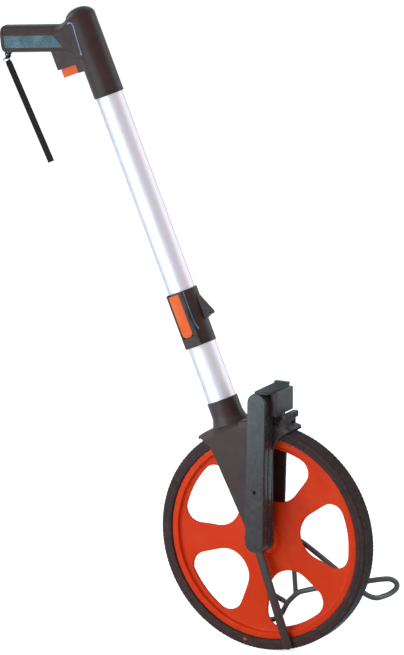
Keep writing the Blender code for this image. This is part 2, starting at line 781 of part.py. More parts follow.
def make_fork():
    crown_half = LEG_OUTER - OVERLAP
    fork = piece("fork", prism(crown_outline(), -crown_half, crown_half), "black")
    join(fork, prism(leg_outline(), -LEG_OUTER, -LEG_INNER + OVERLAP))
    join(fork, prism(leg_outline(FAR_LEG_LEAN), LEG_INNER - OVERLAP, LEG_OUTER))
    flare_end = NECK_FOOT + NECK_FLARE_LENGTH
    socket = LOWER_TUBE_RADIUS + GAP
    neck = [(0, NECK_FOOT), (NECK_FLARE_RADIUS, NECK_FOOT), (NECK_RADIUS, flare_end), (NECK_RADIUS, NECK_TOP)]
    neck += [(socket, NECK_TOP), (socket, TUBE_FLOOR), (0, TUBE_FLOOR)]
    join(fork, turned(neck, TUBE_FACETS), TUBE)
    pedestal_low = (PEDESTAL_REAR, -PEDESTAL_HALF, CROWN_INNER - LUG_DROP)
    join(fork, box(pedestal_low, (PEDESTAL_FRONT, PEDESTAL_HALF, COUNTER_FOOT - GAP)))
    for side in (-1, 1):
        inner = side * (RESET_BARREL_HALF + GAP)
        outer = inner + side * LUG_THICKNESS
        join(fork, prism(lug_outline(), min(inner, outer), max(inner, outer)))
    cut(fork, around_y(CROWN_INNER, -LEG_INNER, LEG_INNER, WHEEL_FACETS))
    cut(fork, around_y(SLEEVE_RADIUS + SLEEVE_WALL_CLEARANCE, -LEG_OUTER - OVERRUN, -LEG_INNER + OVERRUN))
    cut(fork, around_y(AXLE_RADIUS + GAP, LEG_INNER - OVERRUN, LEG_OUTER + OVERRUN))
    cut(fork, prism(pointer_outline(GAP), -LEG_OUTER - OVERRUN, -POINTER_BACK + GAP))
    pin_reach = RESET_BARREL_HALF + LUG_THICKNESS + OVERRUN
    pin_bore = RESET_PIN_RADIUS + GAP
    cut(fork, around_y(pin_bore, -pin_reach, pin_reach, SMALL_FACETS, RESET_AXIS_X, RESET_AXIS_Z))
    for share in LEG_SCREW_SHARES:
        x, z = spine(share)
        inside = -LEG_INNER + OVERRUN
        cut(fork, around_y(SCREW_RADIUS + GAP, -LEG_OUTER - OVERRUN, inside, SMALL_FACETS, x, z))
        head_seat = -LEG_INNER - SCREW_HEAD_HEIGHT - GAP
        cut(fork, around_y(SCREW_HEAD_RADIUS + GAP, head_seat, inside, SMALL_FACETS, x, z))
    screw_x = (PEDESTAL_REAR + PEDESTAL_FRONT) / 2
    for y in (-COUNTER_SCREW_PLACE, COUNTER_SCREW_PLACE):
        low = (screw_x, y, COUNTER_FOOT - COUNTER_SCREW_LENGTH - GAP)
        cut(fork, rod(low, (screw_x, y, COUNTER_FOOT + OVERRUN), SCREW_RADIUS + GAP))
    neck_screw_reach = NECK_RADIUS + OVERRUN
    neck_bore = rod((-neck_screw_reach, 0, NECK_SCREW_PLACE), (0, 0, NECK_SCREW_PLACE), SCREW_RADIUS + GAP)
    cut(fork, neck_bore, TUBE)

    front = -POINTER_BACK - POINTER_THICKNESS
    arm = piece("pointer_arm", prism(pointer_outline(), front, -POINTER_BACK), "black")
    cut(arm, around_y(SLEEVE_RADIUS + SLEEVE_WALL_CLEARANCE, -LEG_OUTER - OVERRUN, -LEG_INNER + OVERRUN))


def make_neck_screw():
    """A button-head screw through the rear of the neck and the wall of the lower tube."""
    head_end = -NECK_RADIUS - GAP - SCREW_HEAD_HEIGHT
    tip = -LOWER_TUBE_RADIUS + LOWER_TUBE_WALL
    seat = -NECK_RADIUS - GAP
    head = rod((head_end, 0, NECK_SCREW_PLACE), (seat, 0, NECK_SCREW_PLACE), SCREW_HEAD_RADIUS)
    screw = piece("neck_screw", head, "steel", TUBE)
    join(screw, rod((seat - OVERLAP, 0, NECK_SCREW_PLACE), (tip, 0, NECK_SCREW_PLACE), SCREW_RADIUS))


# Tubes and clamp

def tube_profile(radius, wall, foot, top):
    return [(radius, foot), (radius - wall, foot), (radius - wall, top), (radius, top)]


def make_tubes():
    outer = tube_profile(LOWER_TUBE_RADIUS, LOWER_TUBE_WALL, TUBE_FLOOR + GAP, LOWER_TUBE_TOP)
    lower = piece("lower_tube", turned(outer, TUBE_FACETS), "anodised", TUBE)
    cut(lower, rod((-NECK_RADIUS, 0, NECK_SCREW_PLACE), (0, 0, NECK_SCREW_PLACE), SCREW_RADIUS + GAP))
    inner = tube_profile(UPPER_TUBE_RADIUS, UPPER_TUBE_WALL, UPPER_TUBE_FOOT, HEAD_BORE_TOP - GAP)
    piece("upper_tube", turned(inner, TUBE_FACETS), "anodised", TUBE)
    plug_radius = UPPER_TUBE_RADIUS - UPPER_TUBE_WALL - GAP
    seat = UPPER_TUBE_FOOT - GAP
    flange = rod((0, 0, seat - PLUG_FLANGE), (0, 0, seat), UPPER_TUBE_RADIUS, TUBE_FACETS)
    plug = piece("tube_plug", flange, "grey", TUBE)
    top = UPPER_TUBE_FOOT + PLUG_LENGTH
    join(plug, rod((0, 0, seat - OVERLAP), (0, 0, top), plug_radius, TUBE_FACETS))


def fin_outline():
    """A thin fin on the front of the clamp that ends in a round eye."""
    top = CLAMP_TOP
    tip = (CLAMP_RADIUS + FIN_REACH - FIN_TIP_RADIUS, top - FIN_TIP_DROP)
    inside = CLAMP_RADIUS - OVERRUN
    round_tip = arc(tip, FIN_TIP_RADIUS, -2 * math.pi / 3, math.pi / 4)
    return round_tip + [(inside, top - FIN_TOP_DROP), (inside, tip[1] - FIN_UNDERCUT)]


def make_clamp():
    top = CLAMP_TOP
    half = CLAMP_BLOCK_WIDTH / 2
    barrel = rod((0, 0, CLAMP_FOOT), (0, 0, top), CLAMP_RADIUS, TUBE_FACETS)
    sleeve = piece("clamp_sleeve", barrel, "black", TUBE)
    join(sleeve, box((-half, -CLAMP_BLOCK_FACE, CLAMP_FOOT), (half, 0, top)))
    join(sleeve, prism(fin_outline(), -FIN_THICKNESS / 2, FIN_THICKNESS / 2))
    step = LOWER_TUBE_TOP + GAP
    cut(sleeve, rod((0, 0, CLAMP_FOOT - OVERRUN), (0, 0, step), LOWER_TUBE_RADIUS + GAP, TUBE_FACETS))
    cut(sleeve, rod((0, 0, CLAMP_FOOT), (0, 0, top + OVERRUN), UPPER_TUBE_RADIUS + GAP, TUBE_FACETS))
    slot = CLAMP_LEVER_WIDTH / 2 + GAP
    pocket_floor = CLAMP_BLOCK_FACE - CLAMP_LEVER_THICKNESS - GAP
    pocket_foot = top - CLAMP_LEVER_LENGTH - GAP
    cut(sleeve, box((-slot, -CLAMP_BLOCK_FACE - OVERRUN, pocket_foot), (slot, -pocket_floor, top + OVERRUN)))
    tip = (CLAMP_RADIUS + FIN_REACH - FIN_TIP_RADIUS, top - FIN_TIP_DROP)
    cut(sleeve, around_y(FIN_EYE_RADIUS, -FIN_THICKNESS, FIN_THICKNESS, SMALL_FACETS, *tip))

    pin_z = top - CLAMP_PIN_INSET
    pin_y = -(CLAMP_BLOCK_FACE - CLAMP_LEVER_THICKNESS / 2)
    cut(sleeve, rod((-half - OVERRUN, pin_y, pin_z), (half + OVERRUN, pin_y, pin_z), CLAMP_PIN_RADIUS + GAP))
    pad_half = CLAMP_PAD_WIDTH / 2
    pad_low = pin_z - CLAMP_PAD_HEIGHT / 2
    pad_high = pin_z + CLAMP_PAD_HEIGHT / 2
    cut(sleeve, box((-pad_half - GAP, -CLAMP_BLOCK_FACE, pad_low - GAP), (pad_half + GAP, 0, pad_high + GAP)))
    pad_outside = pin_y + CLAMP_LEVER_THICKNESS / 2 + GAP
    pad = box((-pad_half, pad_outside, pad_low), (pad_half, -UPPER_TUBE_RADIUS - GAP, pad_high))
    piece("clamp_pad", pad, "rubber", TUBE)
    piece("clamp_pin", rod((-half, pin_y, pin_z), (half, pin_y, pin_z), CLAMP_PIN_RADIUS), "steel", TUBE)

    place = TUBE @ Matrix.Translation((0, pin_y, pin_z))
    round_half = CLAMP_LEVER_WIDTH / 2
    foot = pocket_foot + GAP - pin_z
    corner = CLAMP_LEVER_CORNER
    outline = arc((round_half - corner, foot + corner), corner, -math.pi / 2, 0)
    outline += [(round_half, 0), (-round_half, 0)]
    outline += arc((corner - round_half, foot + corner), corner, -math.pi, -math.pi / 2)
    thick = CLAMP_LEVER_THICKNESS / 2
    lever = piece("clamp_lever", prism(outline, -thick, thick), "orange_light", place)
    join(lever, rod((-round_half, 0, 0), (round_half, 0, 0), thick))
    cut(lever, rod((-half, 0, 0), (half, 0, 0), CLAMP_PIN_RADIUS + GAP))


# Casing and belt drive

def casing_outline(radius):
    return stadium((0, 0), (CASING_TOP_X, CASING_TOP_Z), radius, CASING_POINTS)


def make_casing():
    inside = CASING_RADIUS - CASING_WALL
    front = -CASING_FACE
    split = -CASING_SPLIT
    cover = piece("casing_cover", prism(casing_outline(CASING_RADIUS), front, split), "black")
    bevel(cover, CASING_EDGE)
    cut(cover, prism(casing_outline(inside), front + CASING_WALL, split + OVERRUN))
    boss_end = -PULLEY_FACE_PLACE - BOSS_CLEARANCE
    wall = front + CASING_WALL
    for share, shaft in ((0, AXLE_RADIUS), (1, COUNTER_SHAFT_RADIUS)):
        x, z = spine(share)
        join(cover, around_y(shaft + BOSS_WALL, wall - OVERLAP, boss_end, SMALL_FACETS, x, z))
        cut(cover, around_y(shaft + GAP, wall, boss_end + OVERRUN, SMALL_FACETS, x, z))
    x, z = spine(CASING_SCREW_SHARE)
    join(cover, around_y(SCREW_POST_RADIUS, wall - OVERLAP, split, SMALL_FACETS, x, z))
    cut(cover, around_y(SCREW_RADIUS + GAP, front - OVERRUN, split + OVERRUN, SMALL_FACETS, x, z))
    head_floor = front + SCREW_HEAD_DEPTH + SCREW_HEAD_HEIGHT + GAP
    cut(cover, around_y(SCREW_HEAD_RADIUS + GAP, front - OVERRUN, head_floor, SMALL_FACETS, x, z))

    shell_front = split + GAP
    shell = piece("casing_shell", prism(casing_outline(CASING_RADIUS), shell_front, -CASING_BACK), "black")
    cut(shell, prism(casing_outline(inside), shell_front - OVERRUN, -CASING_BACK - CASING_WALL))
    floor = -CASING_BACK - CASING_WALL + OVERLAP
    for share in (CASING_SCREW_SHARE, *LEG_SCREW_SHARES):
        x, z = spine(share)
        join(shell, around_y(SCREW_POST_RADIUS, shell_front, floor, SMALL_FACETS, x, z))
    cut(shell, around_y(SLEEVE_RADIUS + SLEEVE_WALL_CLEARANCE, shell_front, -CASING_BACK + OVERRUN))
    behind = -CASING_BACK + OVERRUN
    shaft_bore = COUNTER_SHAFT_RADIUS + GAP
    cut(shell, around_y(shaft_bore, shell_front, behind, SMALL_FACETS, CASING_TOP_X, CASING_TOP_Z))
    thread_end = shell_front + SCREW_THREAD
    screw_place = spine(CASING_SCREW_SHARE)
    screw_bore = SCREW_RADIUS + GAP
    cut(shell, around_y(screw_bore, shell_front - OVERRUN, thread_end + GAP, SMALL_FACETS, *screw_place))
    leg_thread_end = -CASING_BACK - SCREW_THREAD
    for share in LEG_SCREW_SHARES:
        cut(shell, around_y(screw_bore, leg_thread_end - GAP, behind, SMALL_FACETS, *spine(share)))

    x, z = spine(CASING_SCREW_SHARE)
    head = around_y(SCREW_HEAD_RADIUS, front + SCREW_HEAD_DEPTH, head_floor - GAP, SMALL_FACETS, x, z)
    screw = piece("casing_screw", head, "steel")
    join(screw, around_y(SCREW_RADIUS, head_floor - GAP - OVERLAP, thread_end, SMALL_FACETS, x, z))

    head_top = -LEG_INNER
    for index, share in enumerate(LEG_SCREW_SHARES):
        x, z = spine(share)
        head = around_y(SCREW_HEAD_RADIUS, head_top - SCREW_HEAD_HEIGHT, head_top, SMALL_FACETS, x, z)
        screw = piece(f"leg_screw_{index + 1}", head, "steel")
        join(screw, around_y(SCREW_RADIUS, leg_thread_end, head_top - OVERLAP, SMALL_FACETS, x, z))


def pulley_outline(x, z):
    """Square teeth around a belt pulley."""
    points = []
    pitch = 2 * math.pi / PULLEY_TEETH
    land = pitch * PULLEY_TOOTH_SHARE / 2
    for index in range(PULLEY_TEETH):
        middle = index * pitch
        for radius, turn in (
            (PULLEY_RADIUS - PULLEY_TOOTH_DEPTH, middle - pitch / 2 + land / 2),
            (PULLEY_RADIUS, middle - land),
            (PULLEY_RADIUS, middle + land),
            (PULLEY_RADIUS - PULLEY_TOOTH_DEPTH, middle + pitch / 2 - land / 2),
        ):
            points.append((x + radius * math.cos(turn), z + radius * math.sin(turn)))
    return points


def make_pulley(name, x, z):
    front = -PULLEY_FACE_PLACE
    back = -PULLEY_BACK_PLACE
    pulley = piece(name, prism(pulley_outline(x, z), front + OVERLAP, back - OVERLAP), "white")
    flange = PULLEY_RADIUS + PULLEY_FLANGE
    join(pulley, around_y(flange, front, front + PULLEY_FLANGE_THICKNESS, TUBE_FACETS, x, z))
    join(pulley, around_y(flange, back - PULLEY_FLANGE_THICKNESS, back, TUBE_FACETS, x, z))
    return pulley


def make_belt_drive():
    front = -PULLEY_FACE_PLACE - OVERRUN
    back = -PULLEY_BACK_PLACE + OVERRUN
    lower = make_pulley("lower_pulley", 0, 0)
    cut(lower, hexagon(SLEEVE_HEX_RADIUS + GAP / math.cos(math.pi / 6), front, back))
    upper = make_pulley("upper_pulley", CASING_TOP_X, CASING_TOP_Z)
    cut(upper, around_y(COUNTER_SHAFT_RADIUS + GAP, front, back, SMALL_FACETS, CASING_TOP_X, CASING_TOP_Z))
    middle = -(PULLEY_FACE_PLACE + PULLEY_BACK_PLACE) / 2
    low = middle - BELT_WIDTH / 2
    high = middle + BELT_WIDTH / 2
    belt = piece("drive_belt", prism(casing_outline(BELT_INNER + BELT_THICKNESS), low, high), "rubber")
    cut(belt, prism(casing_outline(BELT_INNER), low - OVERRUN, high + OVERRUN))


# Counter

def counter_outline(wall=0.0):
    """The housing's side view, with the sloping face at the rear; a wall moves every side in."""
    rear = COUNTER_REAR + wall
    front = COUNTER_FRONT - wall
    top = COUNTER_TOP - wall
    foot = COUNTER_FOOT + wall
    slant = COUNTER_SLANT - wall * (2 - math.sqrt(2))
    return [(rear, foot), (front, foot), (front, top), (rear + slant, top), (rear, top - slant)]


def digit_places():
    return [(index - (DIGIT_COUNT - 1) / 2) * DIGIT_PITCH for index in range(DIGIT_COUNT)]


def make_counter():
    near = -LEG_OUTER
    far = COUNTER_FAR_SIDE
    x, z = CASING_TOP_X, CASING_TOP_Z
    housing = piece("counter_housing", prism(counter_outline(), near, far), "black")
    bevel(housing, COUNTER_EDGE)
    wing_rear = x + CASING_RADIUS + GAP
    wing_low = (wing_rear, -COUNTER_NEAR_SIDE, COUNTER_FOOT)
    join(housing, box(wing_low, (COUNTER_FRONT, near + OVERRUN, COUNTER_TOP)))
    cut(housing, prism(counter_outline(COUNTER_WALL), near + COUNTER_WALL, far + OVERRUN))
    bore_end = near + COUNTER_WALL + OVERRUN
    cut(housing, around_y(COUNTER_SHAFT_RADIUS + GAP, near - OVERRUN, bore_end, SMALL_FACETS, x, z))
    carry_x = x + (DIGIT_RADIUS + CARRY_PINION_RADIUS + GAP) * math.cos(CARRY_ANGLE)
    carry_z = z + (DIGIT_RADIUS + CARRY_PINION_RADIUS + GAP) * math.sin(CARRY_ANGLE)
    carry_near = near + COUNTER_WALL - CARRY_SEAT
    cut(housing, around_y(CARRY_SHAFT_RADIUS + GAP, carry_near - GAP, 0, SMALL_FACETS, carry_x, carry_z))

    face = Matrix.Translation((COUNTER_REAR + COUNTER_SLANT / 2, 0, COUNTER_TOP - COUNTER_SLANT / 2))
    face = face @ Matrix.Rotation(-math.pi / 4, 4, "Y") @ Matrix.Translation((WINDOW_SHIFT, 0, 0))
    half_slope = WINDOW_WIDTH / 2
    half_row = DIGIT_COUNT * DIGIT_PITCH / 2
    frame_slope = half_slope + WINDOW_MARGIN
    frame_row = half_row + WINDOW_MARGIN
    through = -COUNTER_WALL - OVERRUN
    cut(housing, box((-half_slope, -half_row, through), (half_slope, half_row, OVERRUN)), face)
    recess = -WINDOW_THICKNESS - GAP
    seat_low = (-frame_slope - GAP, -frame_row - GAP, recess)
    cut(housing, box(seat_low, (frame_slope + GAP, frame_row + GAP, OVERRUN)), face)
    window = box((-frame_slope, -frame_row, -WINDOW_THICKNESS), (frame_slope, frame_row, 0))
    piece("counter_window", window, "clear", face)

    lid_back = far - COUNTER_WALL
    lid = piece("counter_side_cover", prism(counter_outline(COUNTER_WALL + GAP), lid_back, far), "black")
    for place_x, place_z, radius in ((x, z, COUNTER_SHAFT_RADIUS), (carry_x, carry_z, CARRY_SHAFT_RADIUS)):
        post_end = half_row + GAP
        post = around_y(
            radius + CARRY_BOSS_WALL, post_end, lid_back + OVERLAP, SMALL_FACETS, place_x, place_z
        )
        join(lid, post)
        cut(lid, around_y(radius + GAP, post_end - OVERRUN, lid_back + GAP, SMALL_FACETS, place_x, place_z))

    shaft_near = -(CASING_FACE - CASING_WALL - GAP)
    shaft_far = lid_back - GAP
    piece("counter_shaft", around_y(COUNTER_SHAFT_RADIUS, shaft_near, shaft_far, SMALL_FACETS, x, z), "steel")
    bore = COUNTER_SHAFT_RADIUS + GAP
    half = DIGIT_WIDTH / 2
    profile = [(bore, -half), (DIGIT_RADIUS, -half), (DIGIT_RADIUS, half), (bore, half)]
    for index, place in enumerate(digit_places()):
        at = Matrix.Translation((x, place, z)) @ TURN_TO_Y
        piece(f"digit_wheel_{index + 1}", turned(profile, DIGIT_FACETS, at), "white")
    carry = around_y(CARRY_SHAFT_RADIUS, carry_near, shaft_far, SMALL_FACETS, carry_x, carry_z)
    piece("carry_shaft", carry, "steel")
    make_carry_pinions(carry_x, carry_z)

    floor = COUNTER_FOOT + COUNTER_WALL
    screw_x = (PEDESTAL_REAR + PEDESTAL_FRONT) / 2
    for name, y in (("counter_screw_1", -COUNTER_SCREW_PLACE), ("counter_screw_2", COUNTER_SCREW_PLACE)):
        low = (screw_x, y, COUNTER_FOOT - COUNTER_SCREW_LENGTH)
        seat = (screw_x, y, floor + GAP)
        below = (screw_x, y, COUNTER_FOOT - OVERRUN)
        cut(housing, rod(below, (screw_x, y, floor + OVERRUN), SCREW_RADIUS + GAP))
        head_top = (screw_x, y, floor + GAP + SCREW_HEAD_HEIGHT)
        screw = piece(name, rod(seat, head_top, SCREW_HEAD_RADIUS), "steel")
        join(screw, rod(low, (screw_x, y, floor + GAP + OVERLAP), SCREW_RADIUS))

    visor_foot = COUNTER_TOP + GAP
    visor_top = visor_foot + VISOR_THICKNESS
    corner = (VISOR_REAR, -VISOR_NEAR_SIDE, visor_foot)
    visor = piece("visor", box(corner, (VISOR_FRONT, VISOR_FAR_SIDE, visor_top)), "black")
    bevel(visor, VISOR_EDGE)
    rib_low = (VISOR_REAR, VISOR_FAR_SIDE - VISOR_RIB_WIDTH, visor_top - OVERLAP)
    join(visor, box(rib_low, (VISOR_FRONT, VISOR_FAR_SIDE, visor_top + VISOR_RIB_HEIGHT)))
    peg_x = (VISOR_REAR + VISOR_FRONT) / 2
    for side in (-1, 1):
        y = side * COUNTER_SCREW_PLACE
        peg_foot = COUNTER_TOP - COUNTER_WALL
        join(visor, rod((peg_x, y, peg_foot), (peg_x, y, visor_foot + OVERLAP), VISOR_PEG_RADIUS))
        cut(housing, rod((peg_x, y, peg_foot - OVERRUN), (peg_x, y, visor_foot), VISOR_PEG_RADIUS + GAP))


def make_carry_pinions(x, z):
    """A small pinion beside each gap between two digit wheels, all on one sleeve."""
    places = digit_places()
    tooth = math.pi / CARRY_PINION_TEETH
    outline = []
    for index in range(2 * CARRY_PINION_TEETH):
        radius = CARRY_PINION_RADIUS if index % 2 else CARRY_PINION_RADIUS * CARRY_ROOT_SHARE
        outline.append((x + radius * math.cos(index * tooth), z + radius * math.sin(index * tooth)))
    ends = ((places[0] + places[1]) / 2, (places[-1] + places[-2]) / 2)
    core = around_y(CARRY_PINION_RADIUS * CARRY_ROOT_SHARE, *ends, SMALL_FACETS, x, z)
    pinions = piece("carry_pinions", core, "white")
    for first, second in zip(places, places[1:]):
        middle = (first + second) / 2
        join(pinions, prism(outline, middle - CARRY_PINION_HALF, middle + CARRY_PINION_HALF))
    reach = DIGIT_COUNT * DIGIT_PITCH
    cut(pinions, around_y(CARRY_SHAFT_RADIUS + GAP, -reach, reach, SMALL_FACETS, x, z))


def make_reset_lever():
    place = Matrix.Translation((RESET_AXIS_X, 0, RESET_AXIS_Z))
    half = RESET_BARREL_HALF
    lever = piece("reset_lever", around_y(RESET_BARREL_RADIUS, -half, half), "black", place)
    bar_x = RESET_BAR_X - RESET_AXIS_X
    bar_z = RESET_BAR_Z - RESET_AXIS_Z
    low = (bar_x - RESET_BAR_DEPTH / 2, -RESET_BAR_NEAR, bar_z - RESET_BAR_HEIGHT / 2)
    high = (bar_x + RESET_BAR_DEPTH / 2, RESET_BAR_FAR, bar_z + RESET_BAR_HEIGHT / 2)
    join(lever, box(low, high))
    length = RESET_BAR_NEAR + RESET_BAR_FAR
    pitch = length / RESET_RIBS
    ribs = []
    for index in range(RESET_RIBS):
        start = -RESET_BAR_NEAR + (index + RESET_RIB_SHARE / 2) * pitch
        end = start + pitch * RESET_RIB_SHARE
        rib_low = (high[0] - OVERLAP, start, low[2] + RESET_RIB_HEIGHT)
        ribs.append(box(rib_low, (high[0] + RESET_RIB_HEIGHT, end, high[2] - RESET_RIB_HEIGHT)))
    join(lever, merged(*ribs))
    for side in (-1, 1):
        ends = (side * half, side * (half + LUG_THICKNESS + 2 * GAP))
        cut(lever, around_y(LUG_RADIUS + GAP, min(ends), max(ends)))
    cut(lever, around_y(RESET_PIN_RADIUS + GAP, -half - OVERRUN, half + OVERRUN))
    pin = half + GAP + LUG_THICKNESS
    piece("reset_pin", around_y(RESET_PIN_RADIUS, -pin, pin, SMALL_FACETS), "steel", place)


# Handle

def rounded_rectangle(half_width, half_height, corner, points=4):
    quarter = math.pi / 2
    outline = []
    for index, (side, level) in enumerate(((1, 1), (-1, 1), (-1, -1), (1, -1))):
        centre = (side * (half_width - corner), level * (half_height - corner))
        outline += arc(centre, corner, index * quarter, (index + 1) * quarter, points)
    return outline


def grip_section(x, spread, inset=0.0):
    """Points of the grip's rounded section, in the grip's coordinates."""
    half_width = GRIP_WIDTH / 2 + spread - inset
    half_height = GRIP_HEIGHT / 2 + spread - inset
    corner = GRIP_CORNER + spread - inset
    return [(x, y, z) for y, z in rounded_rectangle(half_width, half_height, corner)]


def collar_sections():
    """The slanting end of the grip, and the taller section inside the head that it spreads to."""
    middle = (COLLAR_FOOT - COLLAR_TOP) / 2
    slanting = [(-COLLAR_SLANT * (z / GRIP_HEIGHT + 0.5), y, z) for _, y, z in grip_section(0, 0)]
    tall = rounded_rectangle(COLLAR_HALF_WIDTH, (COLLAR_FOOT + COLLAR_TOP) / 2, COLLAR_CORNER)
    return slanting, [(-COLLAR_LENGTH, y, z + middle) for y, z in tall]


def hulled(*sections):
    """The solid stretched tightly over some sections."""
    shape = bmesh.new()
    for section in sections:
        for point in section:
            shape.verts.new(point)
    made = bmesh.ops.convex_hull(shape, input=shape.verts)
    inner = [vert for vert in made["geom_interior"] if isinstance(vert, bmesh.types.BMVert)]
    bmesh.ops.delete(shape, geom=inner, context="VERTS")
    bmesh.ops.dissolve_limit(shape, angle_limit=FLAT, verts=shape.verts, edges=shape.edges)
    bmesh.ops.recalc_face_normals(shape, faces=shape.faces)
    mesh = bpy.data.meshes.new("hull")
    shape.to_mesh(mesh)
    shape.free()
    return mesh


def head_profile():
    dome_foot = HEAD_TOP - HEAD_DOME
    rise = [(0, HEAD_TOP)]
    for step in range(1, HEAD_DOME_POINTS):
        turn = step / HEAD_DOME_POINTS * math.pi / 2
        rise.append((HEAD_RADIUS * math.sin(turn), dome_foot + HEAD_DOME * math.cos(turn)))
    return [(0, HEAD_FOOT), (HEAD_RADIUS, HEAD_FOOT), (HEAD_RADIUS, dome_foot)] + rise[::-1]


def guard_outline():
    """The block behind the socket that the trigger slides in, with its thin strip beside the socket."""
    return [
        (-GUARD_REAR, GUARD_FOOT),
        (-TRIGGER_FRONT + TRIGGER_SIDE_PLAY, GUARD_FOOT),
        (-TRIGGER_FRONT + TRIGGER_SIDE_PLAY, GUARD_STRIP_FOOT),
        (-HEAD_RADIUS + GUARD_SINK, GUARD_STRIP_FOOT),
        (-HEAD_RADIUS + GUARD_SINK, GUARD_TOP),
        (-GUARD_REAR, GUARD_TOP),
    ]


def make_handle_shell(name, side):
    """One half of the handle; the side is -1 for the near half and 1 for the far half."""
    shell = piece(name, turned(head_profile(), TUBE_FACETS), "black", TUBE)
    join(shell, hulled(grip_section(0, 0), grip_section(GRIP_LENGTH, 0)), GRIP)
    join(shell, hulled(grip_section(OVERRUN, -OVERLAP), *collar_sections()), GRIP)
    join(shell, prism(guard_outline(), -GUARD_HALF_WIDTH, GUARD_HALF_WIDTH))
    cut(shell, rod((0, 0, HEAD_FOOT - OVERRUN), (0, 0, HEAD_BORE_TOP), UPPER_TUBE_RADIUS + GAP, TUBE_FACETS))
    cut(shell, rod((0, 0, HEAD_HOLLOW_FOOT), (0, 0, HEAD_HOLLOW_TOP), HEAD_HOLLOW_RADIUS))
    hollow_end = grip_section(GRIP_LENGTH + OVERRUN, 0, GRIP_WALL)
    cut(shell, hulled(grip_section(GRIP_HOLLOW_START, 0, GRIP_WALL), hollow_end), GRIP)
    slot = TRIGGER_HALF_WIDTH + TRIGGER_SIDE_PLAY
    slot_low = (-TRIGGER_REAR - TRIGGER_SIDE_PLAY, -slot, GUARD_STRIP_FOOT - OVERRUN)
    cut(shell, box(slot_low, (-TRIGGER_FRONT + TRIGGER_SIDE_PLAY, slot, TRIGGER_CEILING)))

    far_y = GRIP_WIDTH
    pocket = GRIP_WIDTH / 2 - PANEL_INSET
    low_y, high_y = sorted((side * pocket, side * far_y))
    cut(shell, prism(panel_outline(GAP), low_y, high_y), GRIP)
    for place, x, z, depth in handle_screw_places():
        seat = depth - SCREW_HEAD_HEIGHT - GAP
        if place == GRIP:
            low_y, high_y = sorted((0, side * (pocket - GRIP_WALL / 2)))
            join(shell, around_y(SCREW_POST_RADIUS, low_y, high_y, SMALL_FACETS, x, z), place)
        if side > 0:
            cut(shell, around_y(SCREW_HEAD_RADIUS + GAP, seat, far_y, SMALL_FACETS, x, z), place)
        cut(shell, around_y(SCREW_RADIUS + GAP, -HANDLE_SCREW_DEPTH - GAP, far_y, SMALL_FACETS, x, z), place)
    reach = HEAD_TOP
    low_y, high_y = sorted((side * GAP / 2, side * reach))
    keep(shell, box((-reach, low_y, 0), (reach, high_y, reach + HEAD_RADIUS)))


def handle_screw_places():
    """Where the screws cross the handle: the frame, the place in it and how deep the head sits."""
    pocket = GRIP_WIDTH / 2 - PANEL_INSET
    head_depth = HEAD_RADIUS - HEAD_SCREW_DEPTH
    return [
        (GRIP, HANDLE_SCREW_SHARES[0] * GRIP_LENGTH, 0, pocket - GAP),
        (GRIP, HANDLE_SCREW_SHARES[1] * GRIP_LENGTH, 0, pocket - GAP),
        (TUBE, 0, (HEAD_BORE_TOP + HEAD_HOLLOW_FOOT) / 2, head_depth),
    ]


def panel_outline(margin=0.0):
    """The side panel's outline on the grip, with its slanting front end."""
    top = PANEL_DROP - PANEL_HEIGHT / 2 - margin
    foot = PANEL_DROP + PANEL_HEIGHT / 2 + margin
    start = PANEL_START - margin
    end = GRIP_LENGTH - PANEL_END_MARGIN + margin
    return [(start, foot), (start + PANEL_END_SLANT, top), (end, top), (end, foot)]


